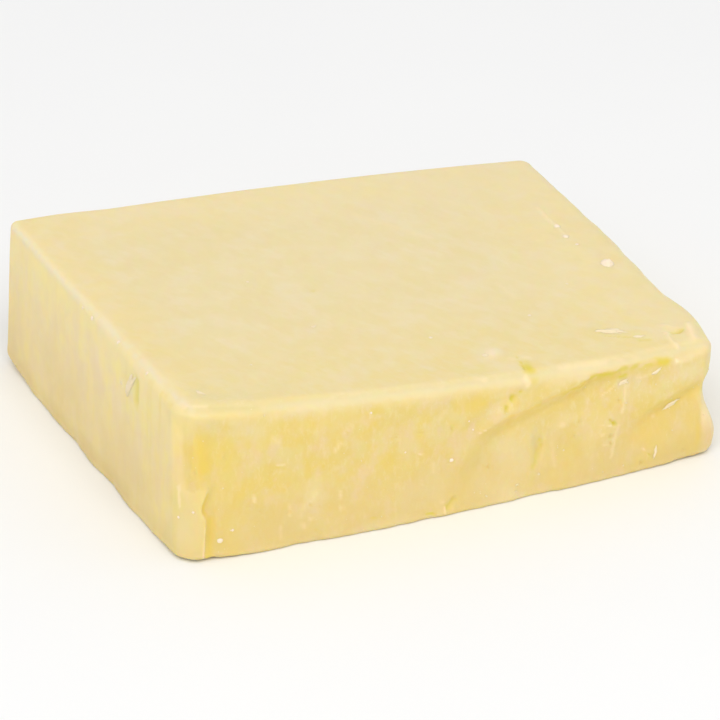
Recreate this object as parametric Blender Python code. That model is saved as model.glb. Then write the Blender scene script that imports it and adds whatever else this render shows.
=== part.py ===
"""A hand-cut piece of sharp cheddar, about half a pound, lying on its broad side.

Straight cuts made its top, underside, left side and back. Its front and its right end are
broken: a scoop with a lip over it crosses the front, and a waist runs round the right end.
Metres, +Z up, -Y towards the front. The origin is under the middle of the block.
Forms are placed from the near corner, front left at the bottom, until the block is centred.
"""

import itertools

import bmesh
import bpy
import numpy as np

MM = 0.001

# Driving dimensions. The block is thickest at its front left corner.
LENGTH = 102 * MM
DEPTH = 83 * MM
HEIGHT = 26 * MM
# How far each corner stands from the plain box's own: to the right, to the back and up, in mm.
CORNER_SHIFTS = {
    ("left", "front", "bottom"): (0.2, -0.5, 0.0),
    ("right", "front", "bottom"): (0.2, 0.4, 0.0),
    ("left", "back", "bottom"): (-2.0, 1.5, 0.0),
    ("right", "back", "bottom"): (1.5, 0.5, 0.0),
    ("left", "front", "top"): (1.2, 0.5, 4.0),
    ("right", "front", "top"): (-0.3, -0.4, -3.0),
    ("left", "back", "top"): (-0.3, -0.3, 3.0),
    ("right", "back", "top"): (1.3, -0.4, -3.5),
}

# Rounding of the edges, in plan and in height.
TOP_EDGE_RADIUS = 2.2 * MM
BOTTOM_EDGE_RADIUS = 0.9 * MM
NEAR_CORNER_EXTRA = 3.6 * MM
OTHER_CORNER_EXTRA = 0.3 * MM
CORNER_REACH = 9 * MM
# The foot of the left back corner is rounder, and the near corner's a little.
BACK_FOOT_EXTRA = 2.6 * MM
NEAR_FOOT_EXTRA = 0.4 * MM

# Slow bows of the cut faces.
FRONT_BOW = 2.0 * MM
BACK_BOW = 0.9 * MM
END_BOW = 0.8 * MM
TOP_SAG = 0.8 * MM
TOP_RISE = 0.5 * MM

# Every scoop is half an ellipse that stands on the underside. Its ring is 0 at the centre and 1
# at the rim. It drops off inwards from the rim, is shallower on its floor, and fades out downwards.
RIM = (0.89, 1.025)
FLOOR_SHARE = 0.3
FLOOR_RING = 0.4
SCOOP_FEET = (-2 * MM, 8 * MM)

# The scoop out of the front, whose rim is sharp only between two places along it.
SCOOP_CENTRE_X = 93 * MM
SCOOP_HALF_WIDTH = 43.5 * MM
SCOOP_HEIGHT = 22 * MM
SCOOP_DEPTH = 1.6 * MM
SCOOP_STARTS = (44 * MM, 58 * MM)
SCOOP_ENDS = (74 * MM, 94 * MM)
LIP_PLACE = 1.04
LIP_WIDTH = 0.085
LIP_BULGE = 0.4 * MM
VALLEY_PLACE = 1.19
VALLEY_WIDTH = 0.06
VALLEY_DEPTH = 0.5 * MM
VALLEY_X = 60 * MM
VALLEY_REACH = 9 * MM

# The second hollow, low at the right of the scoop, under a bulge. Its crest rises to the right.
HOLLOW_X = (84 * MM, 101 * MM)
HOLLOW_Z = (10.5 * MM, 15.2 * MM)
HOLLOW_DEPTH = 1.3 * MM
HOLLOW_DROP = 1.7 * MM
HOLLOW_FALL = 9 * MM
BULGE_HEIGHT = 0.45 * MM
BULGE_REACH = 3.5 * MM

# The right end: a waist round it, a belly under that, and a shoulder near its front.
WAIST_Z = 13 * MM
WAIST_REACH = 4.2 * MM
WAIST_DEPTH = 1.1 * MM
BELLY_Z = 4.5 * MM
BELLY_BULGE = 1.0 * MM
END_FADE = 45 * MM
END_FADE_SHARE = 0.7
SHOULDER_Y = 11 * MM
SHOULDER_REACH = 8 * MM
SHOULDER_Z = (10 * MM, 20 * MM)
SHOULDER_BULGE = 1.5 * MM

# The shallow scoop across the back half of the right end.
END_SCOOP_Y = 66 * MM
END_SCOOP_HALF_WIDTH = 36 * MM
END_SCOOP_HEIGHT = 17 * MM
END_SCOOP_DEPTH = 1.3 * MM

# The pale skin that laps round the near corner, and the pocket over it.
SKIN_LAP = 5.4 * MM
SKIN_EDGE = 0.4 * MM
SKIN_TOP = (13 * MM, 16 * MM)
SKIN_THICKNESS = 0.5 * MM
SKIN_SINK = 0.9 * MM
SKIN_SINK_DEPTH = 0.4 * MM
POCKET_X = 5.8 * MM
POCKET_Z = 21 * MM
POCKET_HALF = (1.9 * MM, 5.0 * MM)
POCKET_DEPTH = 0.8 * MM

# The nick under the scoop's lip.
JAG_X = 67.4 * MM
JAG_Z = 9.2 * MM
JAG_HALF = (0.9 * MM, 3.2 * MM)
JAG_DEPTH = 0.7 * MM

# Flakes and crystals that stand up from the top: place, half length, half width, turn, height.
# Points this close to the top face stand on it.
TOP_MARGIN = 0.1 * MM
TOP_FLAKES = (
    (98.0 * MM, 36.5 * MM, 1.2 * MM, 1.0 * MM, 0.0, 0.5 * MM),
    (87.5 * MM, 8.6 * MM, 4.2 * MM, 0.9 * MM, -0.3, 0.4 * MM),
    (61.5 * MM, 6.6 * MM, 2.2 * MM, 0.9 * MM, -0.3, 0.35 * MM),
)

# Crags of the broken faces: cell, height and seed of the large and of the small ones. Those of
# the right end are higher, but leave its front and its top edge alone. They all fade inwards.
CRAGS = ((9 * MM, 0.45 * MM, 3), (4 * MM, 0.20 * MM, 5))
END_CRAGS = 2.0
END_CRAGS_FROM = (4 * MM, 16 * MM)
END_CRAGS_UP_TO = (16 * MM, 21 * MM)
SIDE_REACH = 7 * MM
NOISE_TABLE = 32
NOISE_GAIN = 1.6

# The lattice that carries the shape, and the share of its faces that is kept.
LATTICE_STEP = 0.8 * MM
KEPT_FACES = 0.12

# Pale yellow, with a faint sheen.
CHEESE_COLOUR = (0.86, 0.70, 0.36, 1)
CHEESE_ROUGHNESS = 0.5

SIZE = np.array([LENGTH, DEPTH, HEIGHT])


def smooth_step(low, high, value):
    """0 up to low, 1 from high on, with a smooth rise between them."""
    share = np.clip((value - low) / (high - low), 0, 1)
    return share * share * (3 - 2 * share)


def bump(distance, reach):
    """1 at no distance, falling smoothly to nearly 0 at twice the reach."""
    return np.exp(-((distance / reach) ** 2))


def smooth_noise(points, cell, seed):
    """Noise from about -1 to 1: random slopes on a lattice of that cell, blended between its corners."""
    slopes = np.random.default_rng(seed).normal(size=(NOISE_TABLE,) * 3 + (3,))
    slopes /= np.linalg.norm(slopes, axis=-1, keepdims=True)
    scaled = points / cell
    low = np.floor(scaled).astype(int)
    offset = scaled - low
    blend = smooth_step(0, 1, offset)
    total = np.zeros(len(points))
    for corner in itertools.product((0, 1), repeat=3):
        weight = np.prod(np.where(corner, blend, 1 - blend), axis=1)
        slope = slopes[tuple(((low + corner) % NOISE_TABLE).T)]
        total += weight * np.sum(slope * (offset - corner), axis=1)
    return NOISE_GAIN * total


def lattice_box():
    """The plain box as a mesh whose every face is a lattice of small squares."""
    mesh = bpy.data.meshes.new("cheddar_block")
    shape = bmesh.new()
    bmesh.ops.create_cube(shape, size=1.0)
    bmesh.ops.scale(shape, vec=SIZE, verts=shape.verts)
    bmesh.ops.translate(shape, vec=SIZE / 2, verts=shape.verts)
    for axis, side in enumerate(SIZE):
        along = [e for e in shape.edges if abs((e.verts[0].co - e.verts[1].co)[axis]) > side / 2]
        cuts = round(side / LATTICE_STEP) - 1
        bmesh.ops.subdivide_edges(shape, edges=along, cuts=cuts, use_grid_fill=True)
    shape.to_mesh(mesh)
    shape.free()
    return mesh


def edge_radii(box):
    """The rounding radius at each point, in plan and in height."""
    up = smooth_step(0, HEIGHT, box[:, 2])
    foot = BACK_FOOT_EXTRA * bump(np.hypot(box[:, 0], box[:, 1] - DEPTH), CORNER_REACH)
    foot += NEAR_FOOT_EXTRA * bump(np.hypot(box[:, 0], box[:, 1]), CORNER_REACH)
    vertical = np.where(box[:, 2] < HEIGHT / 2, BOTTOM_EDGE_RADIUS + foot, TOP_EDGE_RADIUS)
    plan = BOTTOM_EDGE_RADIUS + (TOP_EDGE_RADIUS - BOTTOM_EDGE_RADIUS) * up + foot * (1 - up)
    for x, y in itertools.product((0, LENGTH), (0, DEPTH)):
        extra = NEAR_CORNER_EXTRA if (x, y) == (0, 0) else OTHER_CORNER_EXTRA
        plan = plan + extra * bump(np.hypot(box[:, 0] - x, box[:, 1] - y), CORNER_REACH)
    return np.stack([plan, plan, vertical], axis=1)


def rounded(box):
    """Pulls the points near the edges of the box in, onto an ellipse arc round each edge."""
    radii = edge_radii(box)
    core = np.clip(box, radii, SIZE - radii)
    reach = (box - core) / radii
    length = np.linalg.norm(reach, axis=1, keepdims=True)
    return core + radii * reach / np.maximum(length, 1)


def skewed(box):
    """Moves the box's eight corners to where the cuts left them, and all between them in step."""
    share = box / SIZE
    moved = box.copy()
    for (side, face, level), shift in CORNER_SHIFTS.items():
        across = share[:, 0] if side == "right" else 1 - share[:, 0]
        inward = share[:, 1] if face == "back" else 1 - share[:, 1]
        upward = share[:, 2] if level == "top" else 1 - share[:, 2]
        moved += (across * inward * upward)[:, None] * np.array(shift) * MM
    return moved


def bowed(box, moved):
    """Bows the front, the back and the right end out, sags the top in front and lifts it at the back."""
    along = np.clip(box[:, 0] / LENGTH, 0, 1)
    inward = np.clip(box[:, 1] / DEPTH, 0, 1)
    arch = 4 * along * (1 - along)
    moved[:, 0] += END_BOW * along * (4 * inward * (1 - inward)) ** 2
    moved[:, 1] += arch * (BACK_BOW * inward - FRONT_BOW * (1 - inward))
    moved[:, 2] += arch * (TOP_RISE * inward - TOP_SAG * (1 - inward)) * box[:, 2] / HEIGHT
    return moved


def scooped(ring, z):
    """The share of a scoop's depth at each place: it drops off at the rim and slowly flattens inwards."""
    floor = FLOOR_SHARE + (1 - FLOOR_SHARE) * smooth_step(FLOOR_RING, 1, ring)
    inside = np.clip((RIM[1] - ring) / (RIM[1] - RIM[0]), 0, 1)
    return floor * (1 - (1 - inside) ** 2) * smooth_step(*SCOOP_FEET, z)


def front_scoop(x, z):
    """How far the front stands back in its scoop, with the lip and the valley over the rim."""
    ring = np.hypot((x - SCOOP_CENTRE_X) / SCOOP_HALF_WIDTH, z / SCOOP_HEIGHT)
    along = smooth_step(*SCOOP_STARTS, x) * (1 - smooth_step(*SCOOP_ENDS, x))
    lip = LIP_BULGE * bump(ring - LIP_PLACE, LIP_WIDTH)
    valley = VALLEY_DEPTH * bump(ring - VALLEY_PLACE, VALLEY_WIDTH) * bump(x - VALLEY_X, VALLEY_REACH)
    return along * (SCOOP_DEPTH * scooped(ring, z) - lip) + valley


def hollow(x, z):
    """The second hollow: a drop under a crest that rises to the right, with a bulge over it."""
    crest = HOLLOW_Z[0] + (HOLLOW_Z[1] - HOLLOW_Z[0]) * smooth_step(*HOLLOW_X, x)
    grown = smooth_step(HOLLOW_X[0], (HOLLOW_X[0] + HOLLOW_X[1]) / 2, x)
    below = smooth_step(-HOLLOW_DROP, HOLLOW_DROP, crest - z)
    fading = smooth_step(-HOLLOW_FALL, 0, z - crest)
    over = bump(z - crest - BULGE_REACH, BULGE_REACH)
    return grown * (HOLLOW_DEPTH * below * fading - BULGE_HEIGHT * over)


def corner_skin(x, z):
    """The lapping skin, which stands out up to its edge, the sink along that, and the pocket over it."""
    low = 1 - smooth_step(*SKIN_TOP, z)
    past_edge = smooth_step(SKIN_LAP - SKIN_EDGE, SKIN_LAP + SKIN_EDGE, x)
    skin = SKIN_THICKNESS * smooth_step(0, SKIN_LAP / 2, x) * (1 - past_edge)
    sink = SKIN_SINK_DEPTH * bump(x - SKIN_LAP - SKIN_SINK, SKIN_SINK) * smooth_step(0, SKIN_LAP, z)
    pocket = np.hypot((x - POCKET_X) / POCKET_HALF[0], (z - POCKET_Z) / POCKET_HALF[1])
    return low * (sink - skin) + POCKET_DEPTH * bump(pocket, 1)


def jag(x, z):
    """The upright nick in the scoop's floor."""
    return JAG_DEPTH * bump(np.hypot((x - JAG_X) / JAG_HALF[0], (z - JAG_Z) / JAG_HALF[1]), 1)


def right_end(y, z):
    """How far the right end stands out: shoulder and belly, less the waist and the end's own scoop."""
    fade = 1 - END_FADE_SHARE * smooth_step(0, END_FADE, y)
    waist = WAIST_DEPTH * bump(z - WAIST_Z, WAIST_REACH)
    belly = BELLY_BULGE * bump(z - BELLY_Z, WAIST_REACH)
    shoulder = SHOULDER_BULGE * bump(y - SHOULDER_Y, SHOULDER_REACH) * smooth_step(*SHOULDER_Z, z)
    ring = np.hypot((y - END_SCOOP_Y) / END_SCOOP_HALF_WIDTH, z / END_SCOOP_HEIGHT)
    return fade * (belly - waist) + shoulder - END_SCOOP_DEPTH * scooped(ring, z)


def top_flakes(x, y):
    """How high the loose flakes and crystals stand on the top: an oval bump for each."""
    height = np.zeros(len(x))
    for flake_x, flake_y, half_length, half_width, turn, rise in TOP_FLAKES:
        along = (x - flake_x) * np.cos(turn) + (y - flake_y) * np.sin(turn)
        across = (y - flake_y) * np.cos(turn) - (x - flake_x) * np.sin(turn)
        height += rise * bump(np.hypot(along / half_length, across / half_width), 1)
    return height


def broken(box, moved):
    """Carves the broken front and right end into the shape, and leaves the underside flat."""
    front = 1 - smooth_step(0, SIDE_REACH, box[:, 1])
    end = 1 - smooth_step(0, SIDE_REACH, LENGTH - box[:, 0])
    top = smooth_step(HEIGHT - TOP_MARGIN, HEIGHT, box[:, 2])
    x, y, z = moved.T.copy()
    crags = sum(height * smooth_noise(moved, cell, seed) for cell, height, seed in CRAGS)
    moved[:, 1] += front * (front_scoop(x, z) + hollow(x, z) + corner_skin(x, z) + jag(x, z) + crags)
    rough = END_CRAGS * smooth_step(*END_CRAGS_FROM, y) * (1 - smooth_step(*END_CRAGS_UP_TO, z))
    moved[:, 0] += end * (right_end(y, z) + rough * crags)
    moved[:, 2] += top * top_flakes(x, y)
    return moved


def block_material():
    """Pale yellow cheese with a faint sheen."""
    material = bpy.data.materials.new("cheddar")
    material.use_nodes = True
    surface = material.node_tree.nodes["Principled BSDF"]
    surface.inputs["Base Color"].default_value = CHEESE_COLOUR
    surface.inputs["Roughness"].default_value = CHEESE_ROUGHNESS
    surface.inputs["Metallic"].default_value = 0.0
    return material


def cheddar_block():
    """The whole piece: a lattice box, shaped point by point, then centred and thinned out."""
    mesh = lattice_box()
    box = np.empty(len(mesh.vertices) * 3)
    mesh.vertices.foreach_get("co", box)
    box = box.reshape(-1, 3)
    moved = broken(box, bowed(box, skewed(rounded(box))))
    middle = (moved.min(axis=0) + moved.max(axis=0)) / 2
    moved[:, :2] -= middle[:2]
    mesh.vertices.foreach_set("co", moved.ravel())
    mesh.materials.append(block_material())
    mesh.shade_smooth()
    block = bpy.data.objects.new("cheddar_block", mesh)
    bpy.context.scene.collection.objects.link(block)
    thinned = block.modifiers.new("Thinned", "DECIMATE")
    thinned.ratio = KEPT_FACES
    return block


def main():
    for obj in list(bpy.data.objects):
        bpy.data.objects.remove(obj)
    cheddar_block()


main()
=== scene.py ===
"""The looks of a hand-cut block of sharp cheddar: its surface, loose flakes, crumbs and stage.

Metres, +Z up. Forms are placed in mm from the near corner, front left at the bottom, as in
the solid's own source, and the block is centred over the origin last.
"""

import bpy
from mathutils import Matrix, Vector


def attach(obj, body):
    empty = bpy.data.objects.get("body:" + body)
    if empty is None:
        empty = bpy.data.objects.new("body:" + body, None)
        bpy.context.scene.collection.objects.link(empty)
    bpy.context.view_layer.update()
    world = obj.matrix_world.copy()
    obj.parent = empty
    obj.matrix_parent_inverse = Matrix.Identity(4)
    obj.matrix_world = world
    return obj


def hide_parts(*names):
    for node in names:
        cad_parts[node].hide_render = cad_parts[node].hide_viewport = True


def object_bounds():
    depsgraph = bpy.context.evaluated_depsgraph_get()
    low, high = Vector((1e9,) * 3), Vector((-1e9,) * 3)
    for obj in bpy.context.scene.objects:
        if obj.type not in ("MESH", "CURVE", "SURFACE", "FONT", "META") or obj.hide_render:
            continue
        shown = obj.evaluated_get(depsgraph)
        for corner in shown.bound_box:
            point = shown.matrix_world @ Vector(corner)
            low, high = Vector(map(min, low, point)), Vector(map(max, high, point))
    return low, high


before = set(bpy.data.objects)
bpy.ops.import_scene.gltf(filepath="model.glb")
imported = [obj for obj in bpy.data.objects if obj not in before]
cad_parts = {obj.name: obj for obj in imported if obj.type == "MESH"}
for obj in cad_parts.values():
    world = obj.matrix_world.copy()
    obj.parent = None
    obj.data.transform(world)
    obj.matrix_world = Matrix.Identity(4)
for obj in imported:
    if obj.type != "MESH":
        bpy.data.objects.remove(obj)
CAD_BOX = [list(corner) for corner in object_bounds()]

import itertools

import bpy
import numpy as np
from bpy.props import FloatProperty, FloatVectorProperty, IntProperty, PointerProperty
from mathutils import Vector

bl_info = {
    "name": "Sharp Cheddar Block",
    "version": (1, 0, 0),
    "blender": (4, 5, 0),
    "location": "View3D > Sidebar > Cheddar",
    "description": "Makes the surface, flakes, crumbs and stage of a block of sharp cheddar",
    "category": "Object",
}

MM = 0.001
NODE = "cheddar_block"
BODY = "root"

# The solid's driving dimensions, in mm, and its middle seen from above.
SIZE = np.array([102.0, 83.0, 26.0])
MIDDLE = np.array([51.3141, 41.1763, 0.0])
CORNER_SHIFTS = {
    ("left", "front", "bottom"): (0.2, -0.5, 0.0),
    ("right", "front", "bottom"): (0.2, 0.4, 0.0),
    ("left", "back", "bottom"): (-2.0, 1.5, 0.0),
    ("right", "back", "bottom"): (1.5, 0.5, 0.0),
    ("left", "front", "top"): (1.2, 0.5, 4.0),
    ("right", "front", "top"): (-0.3, -0.4, -3.0),
    ("left", "back", "top"): (-0.3, -0.3, 3.0),
    ("right", "back", "top"): (1.3, -0.4, -3.5),
}
TOP_EDGE_RADIUS = 2.2
BOTTOM_EDGE_RADIUS = 0.6
NEAR_CORNER_EXTRA = 3.6
OTHER_CORNER_EXTRA = 0.3
CORNER_REACH = 9.0
FRONT_BOW = 2.0
BACK_BOW = 0.9
END_BOW = 0.8
TOP_SAG = 0.8
TOP_RISE = 0.5

# The left top edge is this much sharper towards the back: the span along the front over which that
# fades out, the span along the side over which it grows, and how much it is at most.
LEFT_EDGE_X, LEFT_EDGE_Y = (8.0, 20.0), (15.0, 55.0)
LEFT_EDGE_LESS = 1.1
# How much rounder the foot of three corners is: the left back, the near and the right front one.
FOOT_EXTRAS = (((0, SIZE[1]), 2.6), ((0, 0), 0.4), ((SIZE[0], 0), 1.2))

# The scoops, each half an ellipse that stands on the underside. The front one's rim is softer and
# wider at its left, and lies further out or in along the front by shares of its size.
RIM = (0.865, 0.992)
SOFT_RIM = (0.86, 1.05)
SOFT_RIM_X = (53.0, 61.0)
HARD_LIP_X = (79.0, 87.0)
RIM_X = (
    50.0, 52.0, 54.0, 56.0, 58.0, 60.0, 61.5, 62.7, 65.1, 67.4, 69.7, 71.5, 74.4, 75.8, 77.2, 79.2,
    81.2, 83.0, 85.1, 87.4, 90.0, 91.6, 94.0,
)
RIM_OUT = (
    0.040, 0.045, 0.060, 0.072, 0.095, 0.103, 0.100, 0.075, 0.052, 0.048, 0.053, 0.038, 0.030, 0.040,
    0.070, 0.064, 0.038, 0.060, 0.050, 0.028, 0.034, 0.006, 0.0,
)
RIM_WANDER = ((0.006, 2.4, 62),)
# Where the front scoop's lip rises, from its rim's outer ring number, where it is soft and hard.
SOFT_RISE, HARD_RISE = (-0.05, 0.03), (-0.02, 0.004)
END_RIM = (0.88, 1.02)
FLOOR_SHARE = 0.3
FLOOR_RING = 0.4
SCOOP_FEET = (-2.0, 8.0)
SCOOP_CENTRE_X = 93.0
SCOOP_HALF_WIDTH = 43.5
SCOOP_HEIGHT = 22.0
SCOOP_DEPTH = 1.6
SCOOP_STARTS = (46.0, 62.0)
SCOOP_ENDS = (74.0, 94.0)
LIP_PLACE, LIP_WIDTH, LIP_BULGE = 1.0, 0.085, 0.4
VALLEY_PLACE, VALLEY_WIDTH, VALLEY_DEPTH = 1.11, 0.06, 0.45
VALLEY_X, VALLEY_REACH = 60.0, 9.0

# The second hollow, low at the right of the scoop.
HOLLOW_X = (84.0, 101.0)
HOLLOW_Z = (10.5, 15.2)
HOLLOW_DEPTH = 1.3
HOLLOW_DROP = 1.7
HOLLOW_END, HOLLOW_END_SHARE = (97.0, 102.0), 0.5
HOLLOW_FALL = 9.0
BULGE_HEIGHT, BULGE_REACH = 0.45, 3.5

# The right end's waist, belly, shoulder and shallow scoop.
WAIST_Z, WAIST_REACH, WAIST_DEPTH = 13.0, 4.2, 1.1
BELLY_Z, BELLY_BULGE = 4.5, 1.0
END_FADE, END_FADE_SHARE = 45.0, 0.7
SHOULDER_Y, SHOULDER_REACH, SHOULDER_BULGE = 11.0, 8.0, 1.5
SHOULDER_Z = (10.0, 20.0)
END_SCOOP_Y, END_SCOOP_HALF_WIDTH, END_SCOOP_HEIGHT, END_SCOOP_DEPTH = 66.0, 36.0, 17.0, 1.3

# The pale skin that laps round the near corner: height and place of its ragged edge, from the
# bottom up, and the pocket over it.
SKIN_EDGE_Z = (0.0, 1.8, 4.9, 8.2, 9.9, 11.2, 13.0, 14.1, 16.0)
SKIN_EDGE_X = (4.5, 4.5, 4.7, 4.9, 4.2, 4.3, 5.1, 5.5, 5.7)
SKIN_EDGE = 0.16
SKIN_TOP = (12.5, 15.5)
SKIN_THICKNESS = 0.5
SKIN_FOOT = (-1.5, 5.0)
SKIN_SINK, SKIN_SINK_DEPTH, SKIN_SINK_Z = 0.9, 0.4, (0.0, 5.4)
POCKET_X, POCKET_Z, POCKET_HALF, POCKET_DEPTH = 5.8, 21.0, (1.9, 5.0), 0.8

# The nick under the scoop's lip.
JAG_X, JAG_Z, JAG_HALF, JAG_DEPTH = 67.4, 9.2, (0.9, 3.2), 0.7

# Sums of noise, each by its height, cell and seed. The foot of the front, left and back is wavy,
# the broken faces have crags, and the end's top edge is chipped.
FOOT_WAVES = 0.35
FOOT_NOISE = ((1.0, (9.0, 9.0, 30.0), 65), (0.35, (2.2, 2.2, 9.0), 66))
FOOT_Z = (0.5, 4.5)
CRAGS = ((0.45, 9.0, 3), (0.20, 4.0, 5))
CHIPS = ((0.30, (6.0, 6.0, 30.0), 63), (0.14, (2.4, 2.4, 9.0), 64))
CHIPS_Z, CHIPS_Y = (14.0, 21.0), (8.0, 20.0)
END_CRAGS = 2.0
END_CRAGS_FROM = (4.0, 16.0)
END_CRAGS_UP_TO = (16.0, 21.0)
SIDE_REACH = 7.0

# The surface's lines along each axis: places and the gap between lines there, in mm, and how many
# places the running sum of the lines is worked out at.
X_GAPS = (
    (0, 0.32), (2.5, 0.30), (3, 0.24), (7, 0.24), (8, 0.32), (12, 0.55), (46, 0.55), (51, 0.29),
    (102, 0.29),
)
Y_GAPS = (
    (0, 0.36), (9, 0.36), (12, 0.75), (17, 0.6), (27, 0.6), (31, 0.9), (74, 0.9), (79, 0.48),
    (83, 0.48),
)
Z_GAPS = ((0, 0.38), (26, 0.38))
FINE_PLACES = 4001
# The underside's ring of squares, in squares, and the near corner where there are more, in mm.
UNDERSIDE_RING = 5
UNDERSIDE_CORNER = 12.0
# The noise's cells along each axis, and what brings it to about -1 to 1.
NOISE_CELLS, NOISE_GAIN = 32, 1.6

# The planes in which marks and flakes are placed: their two axes, and the way the face looks.
FACES = {
    "top": ((0, 1), (0, 0, 1)),
    "front": ((0, 2), (0, -1, 0)),
    "back": ((0, 2), (0, 1, 0)),
    "left": ((1, 2), (-1, 0, 0)),
    "end": ((1, 2), (1, 0, 0)),
}
# From and up to which cosine, of its normal with that way, a point comes to count as the face's.
LOOKS_FROM, LOOKS_FULLY = 0.35, 0.8

# Soft swellings of the front, and hollows where the height is negative: place, reach, height.
SWELLINGS = (
    ((80.2, 10.5), (3.4, 4.8), 0.45),
    ((63.0, 9.0), (4.0, 6.0), 0.25),
    ((57.5, 19.0), (6.0, 2.5), 0.25),
    ((96.5, 22.3), (3.0, 0.9), -0.35),
    ((95.5, 20.6), (2.6, 0.9), 0.25),
    ((73.5, 7.0), (3.5, 4.0), -0.30),
    ((30.0, 9.0), (5.0, 6.0), 0.20),
    ((20.0, 14.0), (5.0, 6.0), -0.20),
    ((42.5, 8.0), (4.0, 5.0), -0.20),
)

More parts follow.
